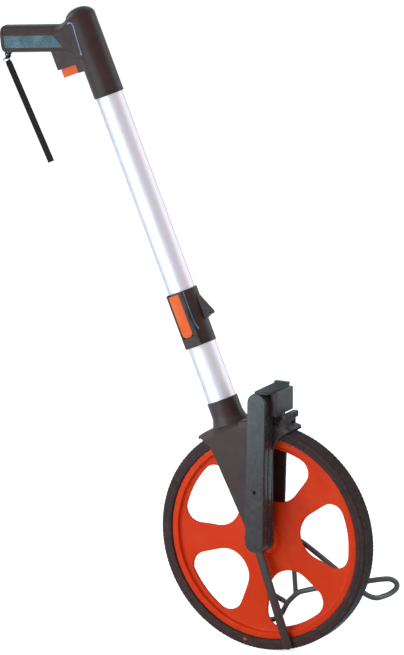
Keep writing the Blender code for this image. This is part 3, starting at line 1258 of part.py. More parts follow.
def make_handle():
    make_handle_shell("handle_shell_near", -1)
    make_handle_shell("handle_shell_far", 1)
    outside = GRIP_WIDTH / 2 - PANEL_INSET + GAP
    for name, side in (("grip_panel_near", -1), ("grip_panel_far", 1)):
        low_y, high_y = sorted((side * outside, side * (outside + PANEL_THICKNESS)))
        piece(name, prism(panel_outline(), low_y, high_y), "grey", GRIP)

    cap_start = GRIP_LENGTH + GAP
    cap_end = cap_start + GRIP_CAP_LENGTH
    middle = cap_end - GRIP_CAP_BEVEL
    sections = (grip_section(cap_start, 0), grip_section(middle, 0), grip_section(cap_end, 0, GRIP_CAP_BEVEL))
    cap = piece("grip_end_cap", hulled(*sections), "black", GRIP)
    plug = GRIP_WALL + GAP
    plug_start = grip_section(GRIP_LENGTH - CAP_PLUG_LENGTH, 0, plug)
    join(cap, hulled(plug_start, grip_section(cap_start + OVERLAP, 0, plug)))
    cheek_inner = STRAP_NECK_WIDTH / 2 + GAP
    cheek_outer = cheek_inner + STRAP_CHEEK
    cheek_top = GRIP_HEIGHT / 2 - CHEEK_SINK
    cheek_foot = STRAP_PIN_Z + CHEEK_MARGIN
    for side in (-1, 1):
        low_y, high_y = sorted((side * cheek_inner, side * cheek_outer))
        low = (STRAP_PIN_X - CHEEK_MARGIN, low_y, cheek_top)
        join(cap, box(low, (STRAP_PIN_X + CHEEK_MARGIN, high_y, cheek_foot)))
    pin_reach = cheek_outer + OVERRUN
    cut(cap, around_y(STRAP_PIN_RADIUS + GAP, -pin_reach, pin_reach, SMALL_FACETS, STRAP_PIN_X, STRAP_PIN_Z))

    for index, (place, x, z, depth) in enumerate(handle_screw_places()):
        head = around_y(SCREW_HEAD_RADIUS, depth - SCREW_HEAD_HEIGHT, depth, SMALL_FACETS, x, z)
        screw = piece(f"handle_screw_{index + 1}", head, "steel", place)
        join(screw, around_y(SCREW_RADIUS, -HANDLE_SCREW_DEPTH, depth - OVERLAP, SMALL_FACETS, x, z))

    width = TRIGGER_HALF_WIDTH
    outline = [
        (-TRIGGER_REAR, TRIGGER_FOOT),
        (-TRIGGER_FRONT, TRIGGER_FOOT),
        (-TRIGGER_FRONT, TRIGGER_TOP),
        (-TRIGGER_REAR, TRIGGER_TOP),
    ]
    trigger = piece("trigger", prism(outline, -width, width), "orange_light", TUBE)
    bevel(trigger, TRIGGER_EDGE)
    spring_x = -(TRIGGER_FRONT + TRIGGER_REAR) / 2
    seat = TRIGGER_TOP - TRIGGER_SPRING_SEAT
    pocket_radius = TRIGGER_SPRING_RADIUS + TRIGGER_SPRING_WIRE + GAP
    cut(trigger, rod((spring_x, 0, seat), (spring_x, 0, TRIGGER_TOP + OVERRUN), pocket_radius))
    make_trigger_spring(spring_x, seat + GAP, TRIGGER_CEILING - GAP)


def make_trigger_spring(x, low, high):
    """A coil that rises with each turn, with a closed half turn at both ends."""
    wire_radius = TRIGGER_SPRING_WIRE
    count = TRIGGER_SPRING_TURNS * SPRING_TURN_POINTS
    foot = low + wire_radius
    rise = high - low - 2 * wire_radius
    points = []
    for index in range(count + 1):
        turn = 2 * math.pi * index / SPRING_TURN_POINTS
        radial = (TRIGGER_SPRING_RADIUS * math.cos(turn), TRIGGER_SPRING_RADIUS * math.sin(turn))
        points.append((x + radial[0], radial[1], foot + rise * index / count))
    least = min(
        math.dist(points[first], points[second])
        for first in range(len(points))
        for second in range(first + SPRING_TURN_POINTS // 2, len(points))
    )
    print(f"trigger spring: least gap between turns {(least - 2 * wire_radius) * 1000:.2f} mm")
    piece("trigger_spring", wire(points, wire_radius, 1), "steel", TUBE)


def make_strap():
    """A flat strap on a pin under the grip's end; it turns forward where a metal ring gathers it."""
    pin_place = GRIP @ Matrix.Translation((STRAP_PIN_X, 0, STRAP_PIN_Z))
    pin = Matrix.Translation(pin_place.to_translation())
    place = pin @ Matrix.Rotation(math.pi - STRAP_NECK_LEAN, 4, "Y")
    at_ring = Matrix.Translation((0, 0, STRAP_RING_PLACE))
    hang = place @ at_ring @ Matrix.Rotation(STRAP_NECK_LEAN - STRAP_LEAN, 4, "Y")
    neck = STRAP_NECK_THICKNESS / 2
    half_neck = STRAP_NECK_WIDTH / 2
    half = STRAP_WIDTH / 2
    flat = STRAP_THICKNESS / 2
    strap = piece("strap", around_y(neck, -half_neck, half_neck), "webbing", place)
    join(strap, box((-neck, -half_neck, 0), (neck, half_neck, STRAP_RING_PLACE)))
    edge = half_neck - OVERLAP
    join(strap, around_y(neck, -edge, edge), hang)
    gathered = [(x, y, 0) for x in (-neck, neck) for y in (-edge, edge)]
    shoulder = [(x, y, RING_WIRE) for x in (-neck, neck) for y in (-edge, edge)]
    spread_end = RING_WIRE + STRAP_SPREAD_LENGTH
    spread = [(x, y, spread_end) for x in (-flat, flat) for y in (-half, half)]
    join(strap, hulled(gathered, shoulder), hang)
    join(strap, hulled(shoulder, spread), hang)
    thin = flat - OVERLAP / 2
    slim = half - OVERLAP / 2
    join(strap, box((-thin, -slim, spread_end - OVERLAP), (thin, slim, STRAP_LENGTH)), hang)
    cut(strap, around_y(STRAP_PIN_RADIUS + GAP, -half_neck - OVERRUN, half_neck + OVERRUN))
    ring_points = []
    for index in range(RING_POINTS):
        turn = 2 * math.pi * index / RING_POINTS
        ring_points.append((RING_RADIUS * math.cos(turn), RING_RADIUS * math.sin(turn), 0))
    piece("strap_ring", wire(ring_points, RING_WIRE, 2, closed=True), "steel", hang)
    cheek_outer = half_neck + GAP + STRAP_CHEEK
    piece("strap_pin", around_y(STRAP_PIN_RADIUS, -cheek_outer, cheek_outer), "steel", pin_place)


# Stand

def smooth(points, steps):
    """Points on a smooth curve through the given ones."""
    ends = [2 * points[0] - points[1]] + points + [2 * points[-1] - points[-2]]
    route = []
    for before, start, end, after in zip(ends, ends[1:], ends[2:], ends[3:]):
        for step in range(steps):
            share = step / steps
            bend = (end - before) * share + (2 * before - 5 * start + 4 * end - after) * share**2
            bend += (3 * start - before - 3 * end + after) * share**3
            route.append(start + bend / 2)
    route.append(points[-1])
    return route


def make_stand():
    """A bent and welded wire frame on a bush that turns on the axle."""
    bush_place = Matrix.Translation((0, STAND_PLANE - STAND_HUB_LENGTH / 2, 0)) @ TURN_TO_Y
    bush = ring_profile(AXLE_RADIUS + GAP, STAND_HUB_RADIUS, STAND_HUB_LENGTH)
    stand = piece("stand", turned(bush, TUBE_FACETS, bush_place), "steel")
    seat = (AXLE_RADIUS + STAND_HUB_RADIUS) / 2
    route = [Vector((seat, STAND_PLANE, 0))]
    for x, y, z in STAND_ROUTE_SHARES:
        route.append(Vector((x * STAND_REACH, STAND_PLANE + y * STAND_REACH, z * STAND_REACH)))
    join(stand, wire(smooth(route, STAND_ROUTE_STEPS), STAND_WIRE))
    weld_wire = STAND_WIRE - OVERLAP
    for ends in STAND_BRACE_SHARES:
        start, end = [(x * STAND_REACH, STAND_PLANE, z * STAND_REACH) for x, z in ends]
        join(stand, rod(start, end, weld_wire))


def place_on_ground():
    """Sets the frame so that the middle of the underside of the whole part's box is the origin."""
    bpy.context.view_layer.update()
    graph = bpy.context.evaluated_depsgraph_get()
    low = Vector((math.inf, math.inf, math.inf))
    high = -low
    for node in PARTS.objects:
        if node.type == "EMPTY":
            continue
        solid = node.evaluated_get(graph)
        mesh = solid.to_mesh()
        for vert in mesh.vertices:
            point = solid.matrix_world @ vert.co
            low = Vector(map(min, low, point))
            high = Vector(map(max, high, point))
        solid.to_mesh_clear()
    FRAME.location = (-(low.x + high.x) / 2, -(low.y + high.y) / 2, -low.z)
    bpy.context.view_layer.update()


clear_scene()
PARTS = new_collection("measuring_wheel")
HELPERS = new_collection("cutters", hidden=True)
FRAME = bpy.data.objects.new("frame", None)
PARTS.objects.link(FRAME)
MATERIALS = {
    "orange": new_material("orange", ORANGE),
    "orange_light": new_material("orange_light", ORANGE_LIGHT),
    "black": new_material("black_plastic", BLACK_PLASTIC),
    "grey": new_material("grey_plastic", GREY_PLASTIC),
    "rubber": new_material("rubber", RUBBER),
    "anodised": new_material("anodised_tube", ANODISED),
    "steel": new_material("steel", STEEL),
    "clear": new_material("clear_plastic", CLEAR),
    "white": new_material("white_plastic", WHITE_PLASTIC),
    "webbing": new_material("webbing", WEBBING),
}
make_wheel()
make_drive_sleeve()
make_axle()
make_fork()
make_neck_screw()
make_tubes()
make_clamp()
make_casing()
make_belt_drive()
make_counter()
make_reset_lever()
make_handle()
make_strap()
make_stand()
place_on_ground()
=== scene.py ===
import json
from math import acos, asin, atan2, copysign, cos, hypot, pi, radians, sin, sqrt, tau

import bmesh
import bpy
from mathutils import Matrix, Vector


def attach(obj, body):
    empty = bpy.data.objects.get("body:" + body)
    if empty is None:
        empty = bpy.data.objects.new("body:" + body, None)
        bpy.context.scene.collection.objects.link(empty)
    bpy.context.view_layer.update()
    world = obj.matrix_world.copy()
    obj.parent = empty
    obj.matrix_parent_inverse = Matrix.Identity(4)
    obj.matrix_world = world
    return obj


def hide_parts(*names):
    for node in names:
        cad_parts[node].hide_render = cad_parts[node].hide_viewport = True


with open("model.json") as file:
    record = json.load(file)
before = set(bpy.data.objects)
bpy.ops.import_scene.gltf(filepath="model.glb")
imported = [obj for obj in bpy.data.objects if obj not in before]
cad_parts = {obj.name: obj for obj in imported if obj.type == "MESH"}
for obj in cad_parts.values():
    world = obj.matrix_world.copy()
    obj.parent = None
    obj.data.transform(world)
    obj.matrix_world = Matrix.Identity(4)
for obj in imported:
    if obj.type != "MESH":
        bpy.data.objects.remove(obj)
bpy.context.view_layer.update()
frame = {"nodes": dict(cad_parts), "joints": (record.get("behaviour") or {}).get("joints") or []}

GAP = 0.0003
OVERRUN = 0.002
SINK = 0.0001
QUARTER = pi / 2
WHEEL_FACETS = 160
WHITE = (1, 1, 1, 1)

# The wheel, from the hub
TYRE_RADIUS = 1 / tau
TYRE_HALF = 0.0135
TYRE_SHOULDER = 0.0032
TYRE_STEPS = 480
TYRE_SIDE = (
    (0.1528, 0), (0.1523, 0.0004), (0.1513, 0.0004), (0.1508, 0), (0.1473, 0), (0.1468, 0.0003),
)
TREAD_GROOVES = (-0.0066, -0.0033, 0.0, 0.0033, 0.0066)
GROOVE_PROFILE = ((-0.0006, 0), (-0.0003, 0.0005), (0.0003, 0.0005), (0.0006, 0))
NOTCH_DEPTH = 0.0004
ZERO_MARK = ((0.1535, 0.0), (0.1488, 0.0034), (0.1488, -0.0034))
ZERO_TURN = radians(259.2)
RIM_RADIUS = TYRE_RADIUS - 0.0155
RIM_HALF = 0.011
RIM_LIP = 0.0095
HUB_RADIUS = 0.021
HUB_HALF = 0.0135
BORE_RADIUS = 0.0095
SEAT_RADIUS = 0.0113
NEAR_SEAT = 0.0105
FAR_SEAT = 0.0075
DISC_THICKNESS = 0.004
DISC_PLACE = 0.0055
DISC_BOW = 0.003
HOLE_COUNT = 5
HOLE_PHASE = radians(7.4)
HOLE_HALF_TURN = radians(24.4)
HOLE_FOOT = 0.0525
HOLE_TOP = RIM_RADIUS - 0.0157
HOLE_CORNERS = (0.02, 0.035)

# Fork and casing
LEG_INNER = 0.0145
LEG_OUTER = 0.019
LEG_REAR = pi + radians(27)
CROWN_INNER = TYRE_RADIUS + 0.0043
CROWN_OUTER = CROWN_INNER + 0.0042
CROWN_FRONT = radians(74.7)
CROWN_REAR = radians(127.1)
CROWN_INSET = radians(0.5)
CROWN_ROUNDING = (0.013, 0.0048)
WEB_FOOT = 0.135
LEG_HUB_RADIUS = 0.0165
LEG_FLARE_RADIUS = 0.04
LEG_FLARE_FOOT = 0.1196
LEG_FLARE_TURN = radians(66)
FAR_LEG_LEAN = radians(1.8)
DRIVE_BORE = 0.0084
AXLE_BORE = 0.0043
LUG_RADIUS = 0.0048
LUG_SIDES = (0.012, 0.0165)
NECK_RADIUS = 0.022
NECK_TOP = 0.204
NECK_FLARE = ((0, 0.163), (0.0275, 0.163), (0.0258, 0.17), (0.0235, 0.176), (NECK_RADIUS, 0.183))
NECK_TRIM = 0.003
TUBE_FLOOR = 0.1717
CASING_TOP = (0.004, 0.1985)
CASING_RADIUS = 0.0145
CASING_WALL = 0.002
CASING_FACE = 0.042
CASING_SPLIT = 0.031
CASING_SCREW_SHARE = 0.363
SCREW_SEAT = 0.0029
RESET_AXIS = (0.0305, 0.17)

# Tubes, clamp and handle, along the tube
LOWER_RADIUS = 0.0203
LOWER_TOP = 0.3465
UPPER_RADIUS = 0.0192
UPPER_FOOT = 0.279
UPPER_TOP = 0.7447
CLAMP_FOOT = 0.285
CLAMP_TOP = 0.3635
CLAMP_RADIUS = 0.0216
CLAMP_FACE = 0.0272
CLAMP_HALF = 0.011
CLAMP_SLOT = 0.0087
# Path of the thin ridge beside the clamp's lever, which is coloured pale as a painted highlight.
CLAMP_HIGHLIGHT_RIB = (
    (0.0118, 0.3623), (0.0117, 0.344), (0.0118, 0.323), (0.0128, 0.313), (0.0142, 0.307),
)
CLAMP_PIN = (-0.0248, CLAMP_TOP - 0.0045)
LEVER_HALF = 0.0084
LEVER_FOOT = -0.059
LEVER_CORNER = 0.006
HEAD_FOOT = 0.652
HEAD_TOP = 0.7802
HEAD_DOME = 0.014
HEAD_RADIUS = 0.0214
GUARD = (
    (-0.0585, 0.7068), (-0.0282, 0.7068), (-0.0282, 0.694),
    (-0.0194, 0.694), (-0.0194, 0.74), (-0.0585, 0.74),
)
GRIP_LENGTH = 0.0815
GRIP_HALF_WIDTH = 0.015
GRIP_HALF_HEIGHT = 0.0187
GRIP_CORNER = 0.011
GRIP_CAP_LENGTH = 0.0056
GRIP_CAP_ROUNDING = 0.003
COLLAR_ROWS = (
    (0.001, -0.0185, 0.0185, 0.0148), (-0.006, -0.02, 0.0187, 0.015),
    (-0.013, -0.024, 0.019, 0.0153), (-0.019, -0.0295, 0.0215, 0.016),
    (-0.025, -0.0345, 0.0262, 0.0168), (-0.03, -0.039, 0.03, 0.0175),
    (-0.0345, -0.039, 0.0322, 0.0172), (-0.0385, -0.039, 0.033, 0.0155),
    (-0.042, -0.038, 0.033, 0.0125),
)
# Path of the thin ridge on each side of the collar, which is coloured pale as a painted highlight.
COLLAR_HIGHLIGHT_LINE = (
    (-0.015, 0.7632), (-0.01, 0.764), (-0.005, 0.7628), (-0.0035, 0.76),
    *((-0.0033 - 0.0004 * step, 0.76 - 0.0042 * step) for step in range(1, 10)),
    (-0.0075, 0.7175), (-0.0095, 0.718),
)
PANEL_HALF = 0.0086
PANEL_DROP = 0.002
PANEL_START = -0.0117
PANEL_SLANT = 0.0135
PANEL_END = GRIP_LENGTH - 0.001
PANEL_POCKET = GRIP_HALF_WIDTH - 0.001
RIB_ROWS = 6
RIB_PITCH = 0.00284
RIB_MARGIN = 0.0012
RIB_WAVE = 0.0054
RIB_SWING = 0.0006
TRIGGER_REAR = -0.055
TRIGGER_FOOT = 0.6945
TRIGGER = (
    (TRIGGER_REAR, TRIGGER_FOOT), (-0.0285, TRIGGER_FOOT), (-0.0285, 0.716), (TRIGGER_REAR, 0.716),
)

# Strap and stand
STRAP_PIN = (0.0845, 0.0214)
STRAP_LEAN = radians(26.5)
STRAP_NECK_LEAN = radians(-15)
STRAP_LENGTH = 0.1555
STRAP_HALF_WIDTH = 0.0067
STRAP_NECK_HALF = 0.0029
TAPE_HALF = 0.00062
RING_PLACE = 0.007
RING_TILT = radians(-22)
RING_RADIUS = 0.0057
RING_WIRE = 0.0013
STAND_PLANE = 0.0312
STAND_REACH = 0.16
STAND_WIRE = 0.0034
STAND_SEAT = 0.00675
STAND_BUSH = (
    (AXLE_BORE, 0), (0.009, 0), (0.0095, 0.0005),
    (0.0095, 0.0093), (0.009, 0.0098), (AXLE_BORE, 0.0098),
)
STAND_ROUTE = (
    (0.225, 0, -0.064), (0.554, 0, -0.262), (0.75, 0, -0.392), (0.856, 0.019, -0.466),
    (0.916, 0.069, -0.497), (0.944, 0.15, -0.5), (0.969, 0.237, -0.491), (0.994, 0.3, -0.459),
    (0.991, 0.312, -0.413), (0.956, 0.275, -0.375), (0.894, 0.219, -0.369),
    (0.756, 0.144, -0.391), (0.562, 0.069, -0.428), (0.366, 0.019, -0.47), (0.27, 0, -0.497),
    (0.195, 0, -0.527), (0.126, 0, -0.59), (0.085, 0, -0.64), (0.032, 0, -0.737),
    (-0.02, 0, -0.785), (-0.085, 0, -0.806), (-0.162, 0, -0.811), (-0.246, 0, -0.775),
    (-0.278, 0, -0.69), (-0.24, 0, -0.603), (-0.152, 0, -0.552), (-0.05, 0, -0.576),
    (0.052, 0, -0.615),
)
STAND_BRACES = (((0.132, -0.012), (0.172, -0.54)), ((0.052, -0.615), (0.092, -0.632)))

# Counter wheels
DIGIT_PITCH = 0.0062
DIGIT_HEIGHT = 0.0062
DIGIT_RADIUS = 0.0102
DIGIT_TURN = radians(135)

AXLE = Vector(next(joint["pos_m"] for joint in frame["joints"] if joint["name"] == "wheel_spin"))
HUB = Matrix.Translation(AXLE)
TUBE_LEAN = radians(23.2)
TUBE = HUB @ Matrix.Translation((0.0087, 0, 0)) @ Matrix.Rotation(-TUBE_LEAN, 4, "Y")
GRIP_TURN = Matrix.Rotation(radians(173.1), 4, "Y")
GRIP = HUB @ Matrix.Translation((-0.3257, 0, 0.671)) @ GRIP_TURN
GRIP_ON_TUBE = TUBE.inverted() @ GRIP
TURN_TO_Y = Matrix.Rotation(-QUARTER, 4, "X")
XZ_TO_OUTLINE = Matrix.Rotation(QUARTER, 4, "X")

# Camera and light
VIEW_TURN = radians(28.2)
VIEW_RISE = radians(14.2)
VIEW_DISTANCE = 20
LENS = 795.67
FLOOR_HALF = 40
# Name, place to the right, forward and up of what the camera looks at, size, power, colour
LIGHTS = (
    ("key", (-2.2, -1.4, 1.2), (2.4, 2.4), 10, (1.0, 0.96, 0.96)),
    ("side", (2.4, 0.6, 0.6), (1.8, 2.4), 26, (0.7, 0.92, 1.0)),
    ("rim", (-2.4, 0.7, 1.5), (1.4, 2.0), 28, (0.66, 0.88, 1.0)),
)
PANEL_LIGHT = AXLE + Vector((-0.4, -0.76, 0.28))
# Heading, half width and fade in degrees, colour
REFLECTED_BANDS = (
    (-25, 3, 14, (0.8, 0.98, 1.0, 1)),
    (136, 18, 10, (0.2, 0.24, 0.28, 1)),
)
MATERIALS = {}


# Objects, nodes, camera, light and floor

def placed(name, data):
    """A new object in the scene."""
    made = bpy.data.objects.new(name, data)
    bpy.context.scene.collection.objects.link(made)
    return made


def set_inputs(node, inputs):
    """Gives each input its value, or links it where a socket is given."""
    for key, value in inputs.items():
        if isinstance(value, bpy.types.NodeSocket):
            node.id_data.links.new(value, node.inputs[key])
        else:
            node.inputs[key].default_value = value


def add_node(tree, kind, inputs, operation=None):
    node = tree.nodes.new(kind)
    if operation:
        node.operation = operation
    set_inputs(node, inputs)
    return node


def light_path(tree):
    """What tells a reflection, and what is 1 where the camera looks, also through glass."""
    path = tree.nodes.new("ShaderNodeLightPath").outputs
    looks = {0: path["Is Camera Ray"], 1: path["Is Transmission Ray"]}
    return path["Is Glossy Ray"], add_node(tree, "ShaderNodeMath", looks, "MAXIMUM").outputs[0]


def set_camera():
    """A long lens at the photograph's angle; the hub falls where it does in the photograph."""
    level = cos(VIEW_RISE)
    away = (-sin(VIEW_TURN) * level, cos(VIEW_TURN) * level, -sin(VIEW_RISE))
    forward = Vector(away)
    right = Vector((cos(VIEW_TURN), sin(VIEW_TURN), 0))
    up = right.cross(forward)
    data = bpy.data.cameras.new("camera")
    data.lens = LENS
    data.clip_end = 100
    camera = placed("camera", data)
    target = AXLE - 0.09077 * right + 0.28834 * up
    turn = Matrix((right, up, -forward)).transposed().to_4x4()
    camera.matrix_world = Matrix.Translation(target - VIEW_DISTANCE * forward) @ turn
    bpy.context.scene.camera = camera
    return target, right, forward, up


def add_light(name, place, target, size, power, colour):
    data = bpy.data.lights.new(name, "AREA")
    data.shape = "RECTANGLE"
    data.size, data.size_y = size
    data.energy = power
    data.color = colour
    light = placed(name, data)
    light.location = place
    light.rotation_euler = (target - place).to_track_quat("-Z", "Y").to_euler()


def set_lights(target, right, forward, up):
    for name, (aside, ahead, above), size, power, colour in LIGHTS:
        place = target + aside * right + ahead * forward + above * up
        add_light(name, place, target, size, power, colour)
    behind = Vector((AXLE.x, AXLE.y, PANEL_LIGHT.z))
    add_light("panel", PANEL_LIGHT, behind, (0.9, 0.74), 7.5, (0.58, 0.88, 1.0))


def set_world():
    """White to the camera, white with two bands in reflections, and soft plain light."""
    world = bpy.data.worlds.new("studio")
    bpy.context.scene.world = world
    world.use_nodes = True
    tree = world.node_tree
    tree.nodes.clear()
    glossy, seen = light_path(tree)
    direction = tree.nodes.new("ShaderNodeTexCoord").outputs["Generated"]
    axes = add_node(tree, "ShaderNodeSeparateXYZ", {0: direction}).outputs
    heading = add_node(tree, "ShaderNodeMath", {0: axes["Y"], 1: axes["X"]}, "ARCTAN2").outputs[0]
    whole_turn = {"From Min": -pi, "From Max": pi, "Value": heading}
    share = add_node(tree, "ShaderNodeMapRange", whole_turn).outputs[0]
    band = add_node(tree, "ShaderNodeValToRGB", {"Fac": share})
    ramp = band.color_ramp
    ramp.elements[0].color = ramp.elements[1].color = WHITE
    for middle, half, fade, colour in REFLECTED_BANDS:
        stops = ((-half - fade, WHITE), (-half, colour), (half, colour), (half + fade, WHITE))
        for offset, shade in stops:
            ramp.elements.new(0.5 + middle / 360 + offset / 360).color = shade
    soft, shine, white = (
        add_node(tree, "ShaderNodeBackground", {"Color": colour, "Strength": strength}).outputs[0]
        for colour, strength in (
            ((0.94, 0.97, 1.0, 1), 0.3), (band.outputs["Color"], 0.92), (WHITE, 1.0),
        )
    )
    lit = add_node(tree, "ShaderNodeMixShader", {"Fac": glossy, 1: soft, 2: shine}).outputs[0]
    shown = add_node(tree, "ShaderNodeMixShader", {"Fac": seen, 1: lit, 2: white}).outputs[0]
    add_node(tree, "ShaderNodeOutputWorld", {"Surface": shown})


def add_floor():
    """A floor that looks white and keeps the object's shadow."""
    mesh = bpy.data.meshes.new("floor")
    signs = ((-1, -1), (1, -1), (1, 1), (-1, 1))
    corners = [(x * FLOOR_HALF, y * FLOOR_HALF, 0) for x, y in signs]
    mesh.from_pydata(corners, [], [(0, 1, 2, 3)])
    floor = placed("floor", mesh)
    material = bpy.data.materials.new("floor")
    material.use_nodes = True
    tree = material.node_tree
    glossy, seen = light_path(tree)
    bright = add_node(tree, "ShaderNodeMath", {0: seen, 1: 0.8}, "MULTIPLY").outputs[0]
    terms = {0: glossy, 1: 0.12, 2: bright}
    strength = add_node(tree, "ShaderNodeMath", terms, "MULTIPLY_ADD").outputs[0]
    set_inputs(tree.nodes["Principled BSDF"], {
        "Base Color": (0.86, 0.86, 0.86, 1), "Roughness": 1.0, "Specular IOR Level": 0.0,
        "Emission Color": WHITE, "Emission Strength": strength,
    })
    mesh.materials.append(material)


# Materials

def linear(byte):
    share = byte / 255
    return share / 12.92 if share <= 0.04045 else ((share + 0.055) / 1.055) ** 2.4


def rgba(colour):
    return (*map(linear, colour), 1)


class Recipe:
    """One material's nodes, measured in metres on the object."""

    def __init__(self, key, name, colour, roughness, metallic=0.0, **sockets):
        material = bpy.data.materials.new(name)
        material.use_nodes = True
        self.tree = material.node_tree
        self.shader = self.tree.nodes["Principled BSDF"]
        self.where = self.tree.nodes.new("ShaderNodeTexCoord").outputs["Object"]
        self.colour = rgba(colour)
        self.normal = None
        values = {"Base Color": self.colour, "Roughness": roughness, "Metallic": metallic}
        values.update((socket.replace("_", " "), value) for socket, value in sockets.items())
        set_inputs(self.shader, values)
        material.diffuse_color = self.colour
        MATERIALS[key] = material

    def add(self, kind, inputs):
        return add_node(self.tree, kind, inputs)

    def pattern(self, source):
        """A node's output as it is, or noise of a (scale, detail) or (scale, detail, vector)."""
        return self.noise(*source) if isinstance(source, tuple) else source

    def stretched(self, scale, turn):
        inputs = {"Rotation": turn, "Scale": scale, "Vector": self.where}
        return self.add("ShaderNodeMapping", inputs).outputs["Vector"]

    def noise(self, scale, detail, vector=None):
        inputs = {"Scale": scale, "Detail": detail, "Vector": vector or self.where}
        return self.add("ShaderNodeTexNoise", inputs).outputs["Fac"]

    def waves(self, scale, direction, vector):
        inputs = {"Scale": scale, "Distortion": 0.4, "Vector": vector}
        node = self.add("ShaderNodeTexWave", inputs)
        node.bands_direction = direction
        return node.outputs["Fac"]

    def ranged(self, value, low, high, start=0.35, end=0.65):
        inputs = {"From Min": start, "From Max": end, "To Min": low, "To Max": high}
        inputs["Value"] = self.pattern(value)
        return self.add("ShaderNodeMapRange", inputs).outputs["Result"]

    def tinted(self, value, colour, start=0.5, end=0.75, most=0.6):
        """Mixes another colour over the one so far, where the value is high."""
        base = self.shader.inputs["Base Color"]
        below = base.links[0].from_socket if base.is_linked else self.colour
        node = self.add("ShaderNodeMix", {})
        node.data_type = "RGBA"
        inputs = {0: self.ranged(value, 0, most, start, end), 6: below, 7: rgba(colour)}
        set_inputs(node, inputs)
        set_inputs(self.shader, {"Base Color": node.outputs[2]})

    def rough(self, value, low, high):
        set_inputs(self.shader, {"Roughness": self.ranged(value, low, high)})

    def bump(self, height, distance, strength):
        inputs = {"Strength": strength, "Distance": distance, "Height": self.pattern(height)}
        if self.normal:
            inputs["Normal"] = self.normal
        self.normal = self.add("ShaderNodeBump", inputs).outputs["Normal"]
        set_inputs(self.shader, {"Normal": self.normal})

    def worn(self, colour, most):
        """Lightens the edges, as handling does."""
        edges = self.tree.nodes.new("ShaderNodeNewGeometry").outputs["Pointiness"]
        self.tinted(edges, colour, 0.53, 0.62, most)


def moulded(
    key, name, colour, light, dark, roughness,
    grain=0.00003, grain_scale=1500, worn=0.35, shine=0.22, bloom=0.0,
):
    """Moulded plastic: a fine grain, slow changes of tone and lighter edges."""
    recipe = Recipe(
        key, name, colour, roughness, Specular_IOR_Level=shine,
        Sheen_Weight=bloom, Sheen_Roughness=0.35, Sheen_Tint=(0.4, 0.78, 0.9, 1),
    )
    recipe.tinted((38, 4), light)
    recipe.tinted((61, 5), dark, end=0.8)
    recipe.worn(light, worn)
    recipe.rough((120, 5), roughness - 0.06, roughness + 0.08)
    recipe.bump((grain_scale, 2), grain, 0.6)


def make_mouldings():
    orange = Recipe("orange", "orange_moulding", (224, 53, 13), 0.36, Specular_IOR_Level=0.1)
    orange.tinted((24, 4), (236, 70, 20))
    orange.tinted((47, 5), (206, 42, 10), 0.52, 0.8, 0.5)
    orange.worn((238, 96, 44), 0.45)
    orange.rough((160, 5), 0.28, 0.42)
    orange.bump((900, 2), 0.00002, 0.5)

    moulded(
        "orange_light", "orange_lever", (240, 94, 36), (244, 110, 52), (226, 76, 26), 0.42,
        shine=0.15,
    )
    moulded("black", "charcoal_moulding", (68, 42, 37), (76, 54, 48), (52, 31, 26), 0.38, bloom=0.6)
    moulded(
        "casing", "casing_moulding", (52, 34, 31), (60, 46, 44), (40, 25, 23), 0.24,
        worn=0.5, shine=0.42, bloom=0.6,
    )
    moulded("deep", "dark_moulding", (26, 21, 21), (40, 38, 38), (18, 14, 14), 0.5)
    moulded(
        "grey", "grip_grey", (86, 104, 114), (128, 150, 160), (44, 50, 56), 0.5,
        grain=0.00006, grain_scale=900,
    )
    # Pale blue for the thin ridges on the collar and the clamp: a painted highlight along them.
    moulded("painted_highlight", "painted_highlight_line", (120, 160, 172), (150, 186, 196), (84, 112, 122), 0.4)
    moulded("white", "dial_white", (228, 226, 218), (238, 237, 231), (208, 204, 194), 0.4)
    moulded("ink", "dial_ink", (26, 26, 28), (44, 44, 46), (18, 18, 20), 0.5)


